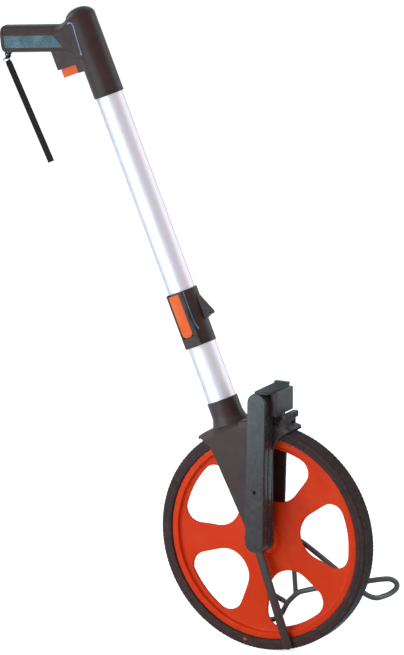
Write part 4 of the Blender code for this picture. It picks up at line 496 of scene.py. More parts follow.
def make_materials():
    make_mouldings()
    tyre = Recipe(
        "tyre", "tyre_rubber", (60, 35, 31), 0.74, Specular_IOR_Level=0.25,
        Sheen_Weight=0.7, Sheen_Roughness=0.3, Sheen_Tint=(0.4, 0.74, 0.86, 1),
    )
    tyre.tinted((90, 5), (70, 48, 44), 0.45, 0.75, 0.7)
    tyre.tinted((1300, 2), (90, 74, 70), 0.55, 0.75, 0.55)
    tyre.tinted((30, 4), (44, 24, 21))
    tyre.rough((200, 4), 0.68, 0.88)
    tyre.bump((1100, 3), 0.00008, 0.7)

    rubber = Recipe("rubber", "rubber", (36, 34, 34), 0.7)
    rubber.tinted((150, 4), (52, 50, 49), end=0.8)
    rubber.bump((1200, 2), 0.00004, 0.6)

    tube = Recipe("tube", "anodised_tube", (226, 212, 218), 0.54, 0.85)
    along = tube.stretched((1, 1, 0.012), (0, TUBE_LEAN, 0))
    tube.tinted((2600, 3, along), (214, 203, 210), 0.45, 0.75, 0.5)
    tube.tinted((22, 4), (232, 217, 222))
    tube.rough((1800, 3, along), 0.48, 0.6)
    tube.bump((3200, 2, along), 0.000012, 0.5)

    steel = Recipe("steel", "plated_steel", (176, 178, 180), 0.32, 1.0)
    steel.tinted((400, 4), (146, 148, 152), 0.45, 0.75, 0.6)
    steel.rough((700, 4), 0.24, 0.44)
    steel.bump((2400, 2), 0.00001, 0.5)

    chrome = Recipe("chrome", "bright_ring", (224, 230, 236), 0.2, 1.0)
    chrome.tinted((600, 3), (176, 182, 190), end=0.8)
    chrome.rough((900, 3), 0.1, 0.24)

    coated = Recipe("coated", "coated_wire", (78, 76, 80), 0.34, Specular_IOR_Level=0.8)
    coated.tinted((260, 4), (92, 94, 100))
    coated.rough((500, 4), 0.3, 0.5)
    coated.bump((1600, 3), 0.00003, 0.6)

    clear = Recipe("clear", "clear_window", (236, 240, 243), 0.05, Transmission_Weight=1, IOR=1.45)
    clear.rough((300, 4), 0.03, 0.09)
    clear.bump((500, 3), 0.000008, 0.4)

    webbing = Recipe(
        "webbing", "webbing", (46, 36, 31), 0.9,
        Specular_IOR_Level=0.15, Sheen_Weight=0.05, Sheen_Roughness=0.5,
    )
    run = webbing.stretched((1, 1, 1), (0, -STRAP_LEAN, 0))
    warp = webbing.waves(420, "Y", run)
    weft = webbing.waves(560, "Z", run)
    webbing.tinted(weft, (66, 54, 48), 0.4, 0.9, 0.75)
    webbing.tinted((240, 4), (40, 36, 34), end=0.8)
    webbing.bump(warp, 0.00018, 0.6)
    webbing.bump(weft, 0.00022, 0.8)

    thread = Recipe("thread", "thread", (30, 27, 26), 0.8, Sheen_Weight=0.3)
    thread.tinted((900, 3), (60, 55, 50), end=0.8)
    thread.bump((2200, 2), 0.00005, 0.7)


# Making meshes

def baked(holder):
    """The mesh that a holder's curve or modifiers make; the holder goes."""
    bpy.context.view_layer.update()
    graph = bpy.context.evaluated_depsgraph_get()
    mesh = bpy.data.meshes.new_from_object(holder.evaluated_get(graph), depsgraph=graph)
    mesh.materials.clear()
    bpy.data.objects.remove(holder)
    return mesh


def as_mesh(shape, name):
    mesh = bpy.data.meshes.new(name)
    shape.to_mesh(mesh)
    shape.free()
    return mesh


def cleaned(mesh, place=None, flat=0.0):
    shape = bmesh.new()
    shape.from_mesh(mesh)
    bmesh.ops.remove_doubles(shape, verts=shape.verts, dist=1e-6)
    if flat:
        bmesh.ops.dissolve_limit(shape, angle_limit=flat, verts=shape.verts, edges=shape.edges)
    if place is not None:
        bmesh.ops.transform(shape, matrix=place, verts=shape.verts)
    bmesh.ops.recalc_face_normals(shape, faces=shape.faces)
    shape.to_mesh(mesh)
    shape.free()
    return mesh


def curve_through(routes, dimensions, closed):
    curve = bpy.data.curves.new("curve", "CURVE")
    curve.dimensions = dimensions
    for points in routes:
        spline = curve.splines.new("POLY")
        spline.points.add(len(points) - 1)
        for point, place in zip(spline.points, points):
            point.co = (*place, 1)
        spline.use_cyclic_u = closed
    return curve


def plate(outline, low, high, edge=0.0, rounds=3):
    """An outline in an XZ plane, given thickness along Y, with rounded edges."""
    curve = curve_through([[(x, z, 0) for x, z in outline]], "2D", True)
    curve.fill_mode = "BOTH"
    curve.extrude = (high - low) / 2 - edge
    curve.bevel_depth = edge
    curve.bevel_resolution = rounds
    curve.offset = -edge
    middle = Matrix.Translation((0, (low + high) / 2, 0))
    return cleaned(baked(placed("plate", curve)), middle @ XZ_TO_OUTLINE)


def side_plate(outline, side, near, far, *rounding):
    """A plate between two distances out to one side."""
    return plate(outline, *sorted((side * near, side * far)), *rounding)


def wire(routes, radius, closed=False, rounds=4):
    """Round wires through lists of points."""
    curve = curve_through(routes, "3D", closed)
    curve.bevel_depth = radius
    curve.bevel_resolution = rounds
    curve.use_fill_caps = True
    return cleaned(baked(placed("wire", curve)))


def turned(profile, facets, place=None):
    """(Radius, height) points turned about Z; a loop unless it starts on the axis."""
    count = len(profile)
    edges = [(index, index + 1) for index in range(count - 1)]
    if profile[0][0] > 0:
        edges.append((count - 1, 0))
    mesh = bpy.data.meshes.new("profile")
    mesh.from_pydata([(radius, 0, height) for radius, height in profile], edges, [])
    holder = placed("profile", mesh)
    screw = holder.modifiers.new("turn", "SCREW")
    screw.steps = screw.render_steps = facets
    screw.use_merge_vertices = True
    screw.merge_threshold = 1e-6
    return cleaned(baked(holder), place)


def rod(start, end, radius, facets):
    start, end = Vector(start), Vector(end)
    along = end - start
    turn = along.to_track_quat("Z", "Y").to_matrix().to_4x4()
    shape = bmesh.new()
    bmesh.ops.create_cone(
        shape, cap_ends=True, segments=facets, radius1=radius, radius2=radius,
        depth=along.length, matrix=Matrix.Translation((start + end) / 2) @ turn,
    )
    return as_mesh(shape, "rod")


def around_y(radius, low, high, facets, x=0.0, z=0.0):
    return rod((x, low, z), (x, high, z), radius, facets)


def box(low, high):
    low, high = Vector(low), Vector(high)
    size = Matrix.Diagonal((*(high - low), 1))
    shape = bmesh.new()
    bmesh.ops.create_cube(shape, size=1, matrix=Matrix.Translation((low + high) / 2) @ size)
    return as_mesh(shape, "box")


def hulled(*sections):
    shape = bmesh.new()
    for section in sections:
        for point in section:
            shape.verts.new(point)
    made = bmesh.ops.convex_hull(shape, input=shape.verts)
    inner = [vert for vert in made["geom_interior"] if isinstance(vert, bmesh.types.BMVert)]
    bmesh.ops.delete(shape, geom=inner, context="VERTS")
    bmesh.ops.recalc_face_normals(shape, faces=shape.faces)
    return as_mesh(shape, "hull")


def lofted(rows):
    """A closed skin over rings of as many points each."""
    shape = bmesh.new()
    rings = [[shape.verts.new(point) for point in row] for row in rows]
    count = len(rings[0])
    for first, second in zip(rings, rings[1:]):
        for index in range(count):
            after = (index + 1) % count
            shape.faces.new((first[index], first[after], second[after], second[index]))
    shape.faces.new(rings[0][::-1])
    shape.faces.new(rings[-1])
    bmesh.ops.recalc_face_normals(shape, faces=shape.faces)
    return as_mesh(shape, "loft")


def merged(meshes):
    shape = bmesh.new()
    for mesh in meshes:
        shape.from_mesh(mesh)
    return as_mesh(shape, "group")


def half_of(mesh, side):
    shape = bmesh.new()
    shape.from_mesh(mesh)
    cut = bmesh.ops.bisect_plane(
        shape, geom=shape.verts[:] + shape.edges[:] + shape.faces[:],
        plane_co=(0, side * GAP / 2, 0), plane_no=(0, -side, 0), clear_outer=True,
    )
    edges = [part for part in cut["geom_cut"] if isinstance(part, bmesh.types.BMEdge)]
    bmesh.ops.holes_fill(shape, edges=edges)
    return as_mesh(shape, "half")


def moved(mesh, place):
    mesh.transform(place)
    return mesh


def shaped(mesh, joins=(), cuts=(), voxel=0.0, smooth=0):
    """The mesh after its Booleans, then remeshed and smoothed like a moulding."""
    holder = placed("shaped", mesh)
    helpers = []
    for operation, others in (("UNION", joins), ("DIFFERENCE", cuts)):
        for other in others:
            helper = placed("helper", other)
            helpers.append(helper)
            boolean = holder.modifiers.new("boolean", "BOOLEAN")
            boolean.operation = operation
            boolean.object = helper
            boolean.solver = "EXACT"
    if voxel:
        remesh = holder.modifiers.new("remesh", "REMESH")
        remesh.mode = "VOXEL"
        remesh.voxel_size = voxel
        holder.modifiers.new("smooth", "SMOOTH").iterations = smooth
    result = baked(holder)
    for helper in helpers:
        bpy.data.objects.remove(helper)
    return result


def bevelled(mesh, edge, angle, segments):
    holder = placed("bevelled", cleaned(mesh, flat=radians(0.3)))
    bevel = holder.modifiers.new("bevel", "BEVEL")
    bevel.width = edge
    bevel.segments = segments
    bevel.limit_method = "ANGLE"
    bevel.angle_limit = radians(angle)
    return baked(holder)


def arc(centre, radius, start, end, points):
    x, y = centre
    steps = [start + (end - start) * index / (points - 1) for index in range(points)]
    return [(x + radius * cos(turn), y + radius * sin(turn)) for turn in steps]


def stadium(first, second, radius):
    turn = atan2(second[1] - first[1], second[0] - first[0])
    outline = arc(second, radius, turn - QUARTER, turn + QUARTER, 24)
    return outline + arc(first, radius, turn + QUARTER, turn + 3 * QUARTER, 24)


def rounded_rectangle(half_width, half_height, corner):
    outline = []
    for index, (side, level) in enumerate(((1, 1), (-1, 1), (-1, -1), (1, -1))):
        centre = (side * (half_width - corner), level * (half_height - corner))
        outline += arc(centre, corner, index * QUARTER, (index + 1) * QUARTER, 10)
    return outline


def smooth_route(points, steps):
    """A curve through all the points."""
    ends = [2 * points[0] - points[1]] + points + [2 * points[-1] - points[-2]]
    route = []
    for before, start, end, after in zip(ends, ends[1:], ends[2:], ends[3:]):
        for step in range(steps):
            share = step / steps
            bend = (end - before) * share
            bend += (2 * before - 5 * start + 4 * end - after) * share**2
            bend += (3 * start - before - 3 * end + after) * share**3
            route.append(start + bend / 2)
    route.append(points[-1])
    return route


def show(name, mesh, material, body, place=HUB, sharp=40, stands_for=()):
    """A finished piece: it gets its place, its material and its body."""
    mesh.transform(place)
    made = placed(name, mesh)
    mesh.materials.append(MATERIALS[material])
    mesh.shade_smooth()
    if sharp < 180:
        mesh.set_sharp_from_angle(angle=radians(sharp))
    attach(made, body)
    if stands_for:
        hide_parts(*stands_for)


def stand_in(node, mesh, material, body, place=HUB, sharp=40):
    """A finished piece that stands for a node of the frame."""
    show(f"{node}_finish", mesh, material, body, place, sharp, (node,))


# Wheel

def make_tyre():
    shoulder = TYRE_RADIUS - TYRE_SHOULDER
    flat = TYRE_HALF - TYRE_SHOULDER
    seat = RIM_RADIUS + GAP
    tread = [(TYRE_RADIUS, -flat)]
    for middle in TREAD_GROOVES:
        tread += [(TYRE_RADIUS - depth, middle + place) for place, depth in GROOVE_PROFILE]
    side = arc((shoulder, flat), TYRE_SHOULDER, 0, QUARTER, 9)
    side += [(radius, TYRE_HALF - depth) for radius, depth in TYRE_SIDE]
    side += [(seat + 0.0012, TYRE_HALF - 0.0003), (seat, RIM_HALF)]
    mirrored = [(radius, -place) for radius, place in reversed(side)]
    mesh = turned(tread + side + mirrored, TYRE_STEPS, TURN_TO_Y)
    pitch = tau / TYRE_STEPS
    for vert in mesh.vertices:
        radius = hypot(vert.co.x, vert.co.z)
        step = round(atan2(vert.co.z, vert.co.x) / pitch)
        if step % 3 == 0 and radius > shoulder + 0.001 and abs(vert.co.y) > flat - 0.0005:
            vert.co.x *= 1 - NOTCH_DEPTH / radius
            vert.co.z *= 1 - NOTCH_DEPTH / radius
    stand_in("tyre", mesh, "tyre", "wheel", sharp=35)
    mark = plate(ZERO_MARK, -TYRE_HALF - 0.0003, -TYRE_HALF + 0.0005)
    show("zero_mark", mark, "orange", "wheel", HUB @ Matrix.Rotation(-ZERO_TURN, 4, "Y"))


def disc_place(radius):
    reach = (radius - HUB_RADIUS) / (RIM_RADIUS - RIM_LIP - HUB_RADIUS)
    return DISC_PLACE - DISC_BOW * sin(pi * reach)


def hole_outline(phase):
    """A rounded triangle between two spokes."""
    outer_corner, inner_corner = HOLE_CORNERS
    corner_centre = HOLE_TOP - outer_corner
    corner_turn = HOLE_HALF_TURN - asin(outer_corner / corner_centre)
    corner = (corner_centre * cos(corner_turn), corner_centre * sin(corner_turn))
    narrow = (HOLE_FOOT + inner_corner, 0)
    across, along = corner[0] - narrow[0], corner[1]
    side = atan2(along, across)
    side += acos((inner_corner - outer_corner) / hypot(across, along))
    half = arc((0, 0), HOLE_TOP, 0, corner_turn, 8)[:-1]
    half += arc(corner, outer_corner, corner_turn, side, 16)
    half += arc(narrow, inner_corner, side, pi, 16)
    whole = half + [(x, -z) for x, z in reversed(half[1:-1])]
    turn = (cos(phase), sin(phase))
    return [(x * turn[0] - z * turn[1], x * turn[1] + z * turn[0]) for x, z in whole]


def disc_half(side, seat, web):
    """Half of the disc's profile, from the bore outwards."""
    bevel, face, lip = 0.001, side * HUB_HALF, RIM_RADIUS - RIM_LIP + 0.0005
    half = [(BORE_RADIUS, face - side * seat), (SEAT_RADIUS, face - side * seat)]
    half += [(SEAT_RADIUS, face), (HUB_RADIUS - bevel, face), (HUB_RADIUS, face - side * bevel)]
    return half + web + [(lip, side * RIM_HALF), (RIM_RADIUS, side * RIM_HALF)]


def make_disc():
    start, reach = HUB_RADIUS + 0.003, RIM_RADIUS - RIM_LIP - 0.003 - HUB_RADIUS
    near, far = [], []
    for step in range(19):
        radius = start + reach * step / 18
        near.append((radius, -disc_place(radius)))
        far.append((radius, DISC_THICKNESS - disc_place(radius)))
    profile = disc_half(-1, NEAR_SEAT, near) + disc_half(1, FAR_SEAT, far)[::-1]
    cuts = []
    for index in range(HOLE_COUNT):
        phase = HOLE_PHASE + index * tau / HOLE_COUNT
        cuts.append(plate(hole_outline(phase), -HUB_HALF, HUB_HALF))
    disc = turned(profile, WHEEL_FACETS, TURN_TO_Y)
    disc = shaped(disc, cuts=cuts, voxel=0.001, smooth=5)
    stand_in("wheel_disc", disc, "orange", "wheel", sharp=180)


# Fork and casing

def leg_outline(front_lean=0.0):
    """A leg round the hub, straight up its front edge, flared and webbed below the crown."""
    middle = (CROWN_INNER + CROWN_OUTER) / 2
    reach = LEG_REAR - acos(LEG_HUB_RADIUS / middle)
    edge = LEG_HUB_RADIUS + LEG_FLARE_FOOT * sin(front_lean)
    centre = (edge / cos(front_lean) + LEG_FLARE_RADIUS, LEG_FLARE_FOOT)
    hub = arc((0, 0), LEG_HUB_RADIUS, LEG_REAR, tau - front_lean, 32)
    flare = arc(centre, LEG_FLARE_RADIUS, pi, pi - LEG_FLARE_TURN, 20)
    crown = arc((0, 0), middle, CROWN_FRONT + CROWN_INSET, CROWN_REAR - CROWN_INSET, 30)
    radius, across, along = LEG_HUB_RADIUS, cos(LEG_REAR), sin(LEG_REAR)
    start = Vector((radius * across + WEB_FOOT * along, radius * along - WEB_FOOT * across))
    bend = 0.45 * Vector((middle * cos(reach), middle * sin(reach))) + 0.55 * start
    tip = Vector(crown[-1])
    web = []
    for step in range(1, 10):
        share = step / 9
        place = (1 - share) ** 2 * tip + 2 * share * (1 - share) * bend + share**2 * start
        web.append(tuple(place))
    return hub + flare + crown + web


def rounding_ring(side):
    """What the crown's outer edge loses on one side to its rounding."""
    away = 0.004
    deep, wide = CROWN_ROUNDING
    foot, edge = CROWN_OUTER - deep, LEG_OUTER - wide
    corner = arc((0, 0), 1, 0, QUARTER, 16)
    profile = [(foot + deep * across, edge + wide * along) for across, along in corner]
    profile += [(foot, LEG_OUTER + away), (CROWN_OUTER + away, LEG_OUTER + away)]
    profile.append((CROWN_OUTER + away, edge))
    return turned([(radius, side * place) for radius, place in profile], WHEEL_FACETS, TURN_TO_Y)


def make_fork():
    outer = arc((0, 0), CROWN_OUTER, CROWN_FRONT, CROWN_REAR, 60)
    inner = arc((0, 0), CROWN_INNER - 0.0005, CROWN_REAR, CROWN_FRONT, 60)
    crown = plate(outer + inner, -LEG_OUTER, LEG_OUTER)
    legs = [
        plate(leg_outline(), -LEG_OUTER + SINK, -LEG_INNER),
        plate(leg_outline(FAR_LEG_LEAN), LEG_INNER, LEG_OUTER - SINK),
    ]
    saddle = shaped(crown, legs, [rounding_ring(-1), rounding_ring(1)])
    socket = LOWER_RADIUS + GAP
    profile = [*NECK_FLARE, (NECK_RADIUS, NECK_TOP)]
    profile += [(socket, NECK_TOP), (socket, TUBE_FLOOR), (0, TUBE_FLOOR)]
    trims = []
    for low in (-LEG_OUTER - 0.02, LEG_OUTER):
        trims.append(around_y(CROWN_OUTER - NECK_TRIM, low, low + 0.02, WHEEL_FACETS))
    neck = shaped(turned(profile, 72, HUB.inverted() @ TUBE), cuts=trims)
    foot = CROWN_INNER - 0.0015
    joins = [neck, box((0.002, -0.014, foot), (0.02, 0.014, 0.1797))]
    x, z = RESET_AXIS
    lug = arc((x, z), LUG_RADIUS, 0, pi, 16)
    lug += [(x - LUG_RADIUS, foot), (x + LUG_RADIUS, foot)]
    joins += [side_plate(lug, side, *LUG_SIDES) for side in (-1, 1)]
    cuts = [
        around_y(CROWN_INNER, -LEG_INNER, LEG_INNER, WHEEL_FACETS),
        around_y(DRIVE_BORE, -0.03, 0, 32),
        around_y(AXLE_BORE, 0, 0.03, 32),
    ]
    fork = shaped(saddle, joins, cuts, voxel=0.0008, smooth=3)
    stand_in("fork", fork, "black", "frame", sharp=180)


def make_casing():
    """Two hollow halves with rounded edges round the belt drive, and the cross-headed screw."""
    inside = stadium((0.0, 0.0), CASING_TOP, CASING_RADIUS - CASING_WALL)
    outside = stadium((0.0, 0.0), CASING_TOP, CASING_RADIUS)
    screw_x, screw_z = (CASING_SCREW_SHARE * place for place in CASING_TOP)
    floor = -CASING_FACE + SCREW_SEAT
    cuts = [
        plate(inside, -CASING_FACE + CASING_WALL, -CASING_SPLIT + OVERRUN),
        around_y(SCREW_SEAT, -CASING_FACE - OVERRUN, floor, 32, screw_x, screw_z),
    ]
    cover = shaped(plate(outside, -CASING_FACE, -CASING_SPLIT, 0.0019, 4), cuts=cuts)
    stand_in("casing_cover", cover, "casing", "frame", sharp=50)
    front, back = -CASING_SPLIT + GAP, -LEG_OUTER - GAP
    cuts = [
        plate(inside, front - OVERRUN, back - CASING_WALL),
        around_y(DRIVE_BORE, front, 0, 32),
        around_y(0.0031, front, 0, 24, *CASING_TOP),
    ]
    shell = shaped(plate(outside, front, back, 0.0006, 2), cuts=cuts)
    stand_in("casing_shell", shell, "casing", "frame", sharp=50)
    screw = cross_screw([(0, 0), (0.0026, 0), (0.0026, 0.001), (0.002, 0.0016), (0, 0.0018)])
    place = HUB @ Matrix.Translation((screw_x, floor, screw_z)) @ XZ_TO_OUTLINE
    stand_in("casing_screw", screw, "deep", "frame", place)


def cross_screw(head):
    """A turned screw head with a cross-shaped recess; it rises along Z."""
    top = head[-1][1]
    slots = []
    for x, y in ((0.0016, 0.00035), (0.00035, 0.0016)):
        slots.append(box((-x, -y, top - 0.0009), (x, y, top + OVERRUN)))
    return shaped(turned(head, 32), cuts=slots)


# Tubes and clamp

def make_tube(node, body, radius, wall, foot, top):
    bevel = 0.0003
    profile = [(radius - wall, foot), (radius - bevel, foot), (radius, foot + bevel)]
    profile += [(radius, top - bevel), (radius - bevel, top), (radius - wall, top)]
    stand_in(node, turned(profile, 96), "tube", body, TUBE)


def make_clamp():
    tip = (CLAMP_RADIUS + 0.0115, CLAMP_TOP - 0.041)
    fin = arc(tip, 0.003, -2 * pi / 3, pi / 4, 14)
    fin.append((CLAMP_RADIUS - OVERRUN, CLAMP_TOP - 0.006))
    fin.append((CLAMP_RADIUS - OVERRUN, tip[1] - 0.008))
    slot, front, above = CLAMP_SLOT, -CLAMP_FACE, CLAMP_TOP + OVERRUN
    block = box((-CLAMP_HALF, front, CLAMP_FOOT), (CLAMP_HALF, 0, CLAMP_TOP))
    cuts = [
        rod((0, 0, CLAMP_FOOT - OVERRUN), (0, 0, LOWER_TOP + GAP), LOWER_RADIUS + GAP, 96),
        rod((0, 0, CLAMP_FOOT), (0, 0, above), UPPER_RADIUS + GAP, 96),
        box((-slot, front - OVERRUN, CLAMP_TOP - 0.0638), (slot, front + 0.0051, above)),
        around_y(0.0014, -0.01, 0.01, 24, *tip),
    ]
    sleeve = rod((0, 0, CLAMP_FOOT), (0, 0, CLAMP_TOP), CLAMP_RADIUS, 96)
    joins = [block, plate(fin, -0.0035, 0.0035)]
    sleeve = bevelled(shaped(sleeve, joins, cuts), 0.0007, 30, 3)
    stand_in("clamp_sleeve", sleeve, "black", "frame", TUBE)
    # A thin ridge beside the lever, coloured pale as a painted highlight.
    highlight_rib = smooth_route([on_round(p, z, CLAMP_RADIUS, -1) for p, z in CLAMP_HIGHLIGHT_RIB], 5)
    show("clamp_highlight_rib", wire([highlight_rib], 0.0008), "painted_highlight", "frame", TUBE)


def on_round(across, height, radius, side):
    """A place on a round surface, seen from one side."""
    return Vector((across, side * sqrt(radius**2 - across * across), height))


def make_clamp_lever():
    inner = LEVER_HALF - LEVER_CORNER
    level = LEVER_FOOT + LEVER_CORNER
    outline = arc((inner, level), LEVER_CORNER, -QUARTER, 0, 12)
    outline += [(LEVER_HALF, 0.0022), (-LEVER_HALF, 0.0022)]
    outline += arc((-inner, level), LEVER_CORNER, -pi, -QUARTER, 12)
    grooves = []
    for index in range(6):
        z = LEVER_FOOT + 0.008 + index * 0.0024
        grooves.append(rod((-0.0058, -0.0027, z), (0.0058, -0.0027, z), 0.0006, 16))
    lever = shaped(plate(outline, -0.0024, 0.0024, 0.0009, 3), cuts=grooves)
    place = TUBE @ Matrix.Translation((0, *CLAMP_PIN))
    stand_in("clamp_lever", lever, "orange_light", "lever", place)


# Handle

def section(x, half_width, top, foot, corner):
    """A rounded rectangle across the grip, at one place along it."""
    outline = rounded_rectangle(half_width, (foot - top) / 2, corner)
    return [(x, y, z + (foot + top) / 2) for y, z in outline]


def grip_section(x, inset=0.0):
    half_height = GRIP_HALF_HEIGHT - inset
    return section(x, GRIP_HALF_WIDTH - inset, -half_height, half_height, GRIP_CORNER - inset)


def grip_body():
    """The handle in one: socket, dome, grip, slanting collar and the block of the trigger."""
    dome = HEAD_TOP - HEAD_DOME
    head = [(0, HEAD_FOOT), (HEAD_RADIUS, HEAD_FOOT), (HEAD_RADIUS, dome)]
    for step in range(1, 13):
        turn = step / 13 * QUARTER
        head.append((HEAD_RADIUS * cos(turn), dome + HEAD_DOME * sin(turn)))
    head.append((0, HEAD_TOP))
    collar = []
    for x, top, foot, half_width in COLLAR_ROWS:
        collar.append(section(x, half_width, top, foot, GRIP_CORNER))
    joins = [
        moved(hulled(grip_section(0), grip_section(GRIP_LENGTH)), GRIP_ON_TUBE),
        moved(lofted(collar), GRIP_ON_TUBE),
        plate(GUARD, -0.0105, 0.0105),
    ]
    cuts = [
        rod((0, 0, HEAD_FOOT - OVERRUN), (0, 0, UPPER_TOP + GAP), UPPER_RADIUS + GAP, 72),
        box((-0.0553, -0.0078, 0.69), (-0.0282, 0.0078, 0.7258)),
    ]
    return shaped(turned(head, 96), joins, cuts, voxel=0.0007, smooth=5)


def panel_outline(margin=0.0):
    top = PANEL_DROP - PANEL_HALF - margin
    foot = PANEL_DROP + PANEL_HALF + margin
    start = PANEL_START - margin
    end = PANEL_END + margin
    return [(start, foot), (start + PANEL_SLANT, top), (end, top), (end, foot)]


def panel_ribs(y):
    """Wavy ribs along a grip panel."""
    ribs = []
    end = PANEL_END - RIB_MARGIN
    for row in range(RIB_ROWS):
        z = PANEL_DROP - PANEL_HALF + 0.0015 + row * RIB_PITCH
        slant = PANEL_SLANT * (PANEL_DROP + PANEL_HALF - z) / (2 * PANEL_HALF)
        start = PANEL_START + slant + RIB_MARGIN
        count = round((end - start) / 0.0006)
        route = []
        for index in range(count + 1):
            x = start + (end - start) * index / count
            swing = RIB_SWING * sin(x / RIB_WAVE * tau + row * pi)
            route.append((x, y, z + swing))
        ribs.append(route)
    return wire(ribs, 0.00062, rounds=2)


def make_handle():
    whole = grip_body()
    floor = PANEL_POCKET + GAP
    for side, label in ((-1, "near"), (1, "far")):
        recess = moved(side_plate(panel_outline(GAP), side, PANEL_POCKET, 0.03), GRIP_ON_TUBE)
        shell = shaped(half_of(whole, side), cuts=[recess])
        stand_in(f"handle_shell_{label}", shell, "black", "handle", TUBE, 60)
        panel = side_plate(panel_outline(), side, floor, floor + 0.0011, 0.0003, 2)
        stand_in(f"grip_panel_{label}", panel, "grey", "handle", GRIP)
        ribs = panel_ribs(side * (floor + 0.001))
        show(f"grip_ribs_{label}", ribs, "grey", "handle", GRIP)


def make_handle_details():
    """The grip's end cap, the collar's thin ridges coloured pale as a painted highlight, the
    trigger and the screws.
    """
    start = GRIP_LENGTH + GAP
    end, round_by = start + GRIP_CAP_LENGTH, GRIP_CAP_ROUNDING
    sections = [grip_section(start)]
    for step in range(7):
        turn = step / 6 * QUARTER
        x = end - round_by * (1 - sin(turn))
        sections.append(grip_section(x, round_by * (1 - cos(turn))))
    tongue = stadium((STRAP_PIN[0], GRIP_HALF_HEIGHT - 0.004), STRAP_PIN, 0.0026)
    cheeks = [side_plate(tongue, side, 0.0033, 0.0053) for side in (-1, 1)]
    cap = bevelled(shaped(hulled(*sections), cheeks), 0.0004, 50, 2)
    stand_in("grip_end_cap", cap, "black", "handle", GRIP)

    # Thin ridges on the collar, coloured pale as a painted highlight.
    for side, label in ((-1, "near"), (1, "far")):
        points = [on_round(p, z, HEAD_RADIUS - 0.0001, side) for p, z in COLLAR_HIGHLIGHT_LINE]
        line = wire([smooth_route(points, 4)], 0.00095)
        show(f"collar_highlight_line_{label}", line, "painted_highlight", "handle", TUBE)

    grooves = []
    for index in range(7):
        x, z = TRIGGER_REAR + 0.0045 + 0.003 * index, TRIGGER_FOOT - 0.0004
        grooves.append(around_y(0.0007, -0.006, 0.006, 16, x, z))
    trigger = shaped(plate(TRIGGER, -0.0075, 0.0075, 0.0014, 3), cuts=grooves)
    stand_in("trigger", trigger, "orange_light", "trigger", TUBE)

    head = [(0, 0), (0.0026, 0), (0.0026, 0.0008), (0.0018, 0.0015), (0, 0.0016)]
    on_grip = PANEL_POCKET - GAP
    seats = (
        (GRIP, 0.28 * GRIP_LENGTH, 0, on_grip),
        (GRIP, 0.8 * GRIP_LENGTH, 0, on_grip),
        (TUBE, 0, 0.7545, HEAD_RADIUS - 0.004),
    )
    for index, (place, x, z, depth) in enumerate(seats):
        at = place @ Matrix.Translation((x, depth - 0.0016, z)) @ TURN_TO_Y
        stand_in(f"handle_screw_{index + 1}", cross_screw(head), "steel", "handle", at)


# Strap and stand

def ribbon(stations):
    """A flat tape: (x, z, heading, half width, offset) stations along its middle line."""
    rings = []
    for x, z, heading, half_width, offset in stations:
        ring = []
        for turn in range(16):
            angle = turn / 16 * tau
            across, level = cos(angle), sin(angle)
            side = copysign(min(1.0, abs(across) * 1.15), across)
            out = offset + TAPE_HALF * copysign(min(1.0, abs(level) * 1.6), level)
            ring.append((x + out * cos(heading), half_width * side, z - out * sin(heading)))
        rings.append(ring)
    return lofted(rings)


def eased(value):
    value = min(1.0, max(0.0, value))
    return value * value * (3 - 2 * value)


def strap_line():
    """(Distance, x, z, heading) along the strap from its pin, with the turn at the ring."""
    turn = STRAP_NECK_LEAN - STRAP_LEAN
    step = 0.0005
    line, x, z = [], 0.0, 0.0
    for index in range(round((RING_PLACE + STRAP_LENGTH) / step) + 1):
        along = index * step
        heading = turn * eased((along - RING_PLACE + 0.002) / 0.004)
        line.append((along, x, z, heading))
        x += step * sin(heading)
        z += step * cos(heading)
    return line


def strap_stitches():
    """On each face, a row along each edge and one across the end."""
    places = [(y, 0.012 + index * 0.003) for y in (-0.0046, 0.0046) for index in range(46)]
    places += [(-0.004 + 0.002 * index, STRAP_LENGTH - 0.006) for index in range(5)]
    routes = []
    for side in (-1, 1):
        low, high = side * 0.00124, side * 0.00138
        for y, z in places:
            routes.append([(low, y, z), (high, y, z + 0.001), (low, y, z + 0.002)])
    return wire(routes, 0.00018, rounds=1)


def make_strap():
    """Two layers of tape, gathered at the pin by a bright ring and sewn together at the end."""
    pin = GRIP @ Vector((STRAP_PIN[0], 0, STRAP_PIN[1]))
    place = Matrix.Translation(pin) @ Matrix.Rotation(pi - STRAP_NECK_LEAN, 4, "Y")
    line = strap_line()
    layers = []
    for side in (-1, 1):
        stations = []
        for along, x, z, heading in line[2::3] + [line[-1]]:
            spread = eased((along - RING_PLACE - 0.001) / 0.006)
            wide = STRAP_NECK_HALF + (STRAP_HALF_WIDTH - STRAP_NECK_HALF) * spread
            stations.append((x, z, heading, wide, side * (0.00125 - 0.0006 * spread)))
        layers.append(ribbon(stations))
    loop = around_y(0.0019, -STRAP_NECK_HALF, STRAP_NECK_HALF, 32)
    layers.append(shaped(loop, cuts=[around_y(0.0013, -0.005, 0.005, 24)]))
    stand_in("strap", merged(layers), "webbing", "strap", place, 50)
    turn = Matrix.Rotation(STRAP_NECK_LEAN - STRAP_LEAN, 4, "Y")
    hang = place @ Matrix.Translation((0, 0, RING_PLACE)) @ turn
    show("strap_stitches", strap_stitches(), "thread", "strap", hang)
    ring = []
    for across, along in arc((0, 0), RING_RADIUS, 0, tau, 65)[:-1]:
        ring.append((across, along * cos(RING_TILT), along * sin(RING_TILT)))
    stand_in("strap_ring", wire([ring], RING_WIRE, True, 5), "chrome", "strap", hang, 180)


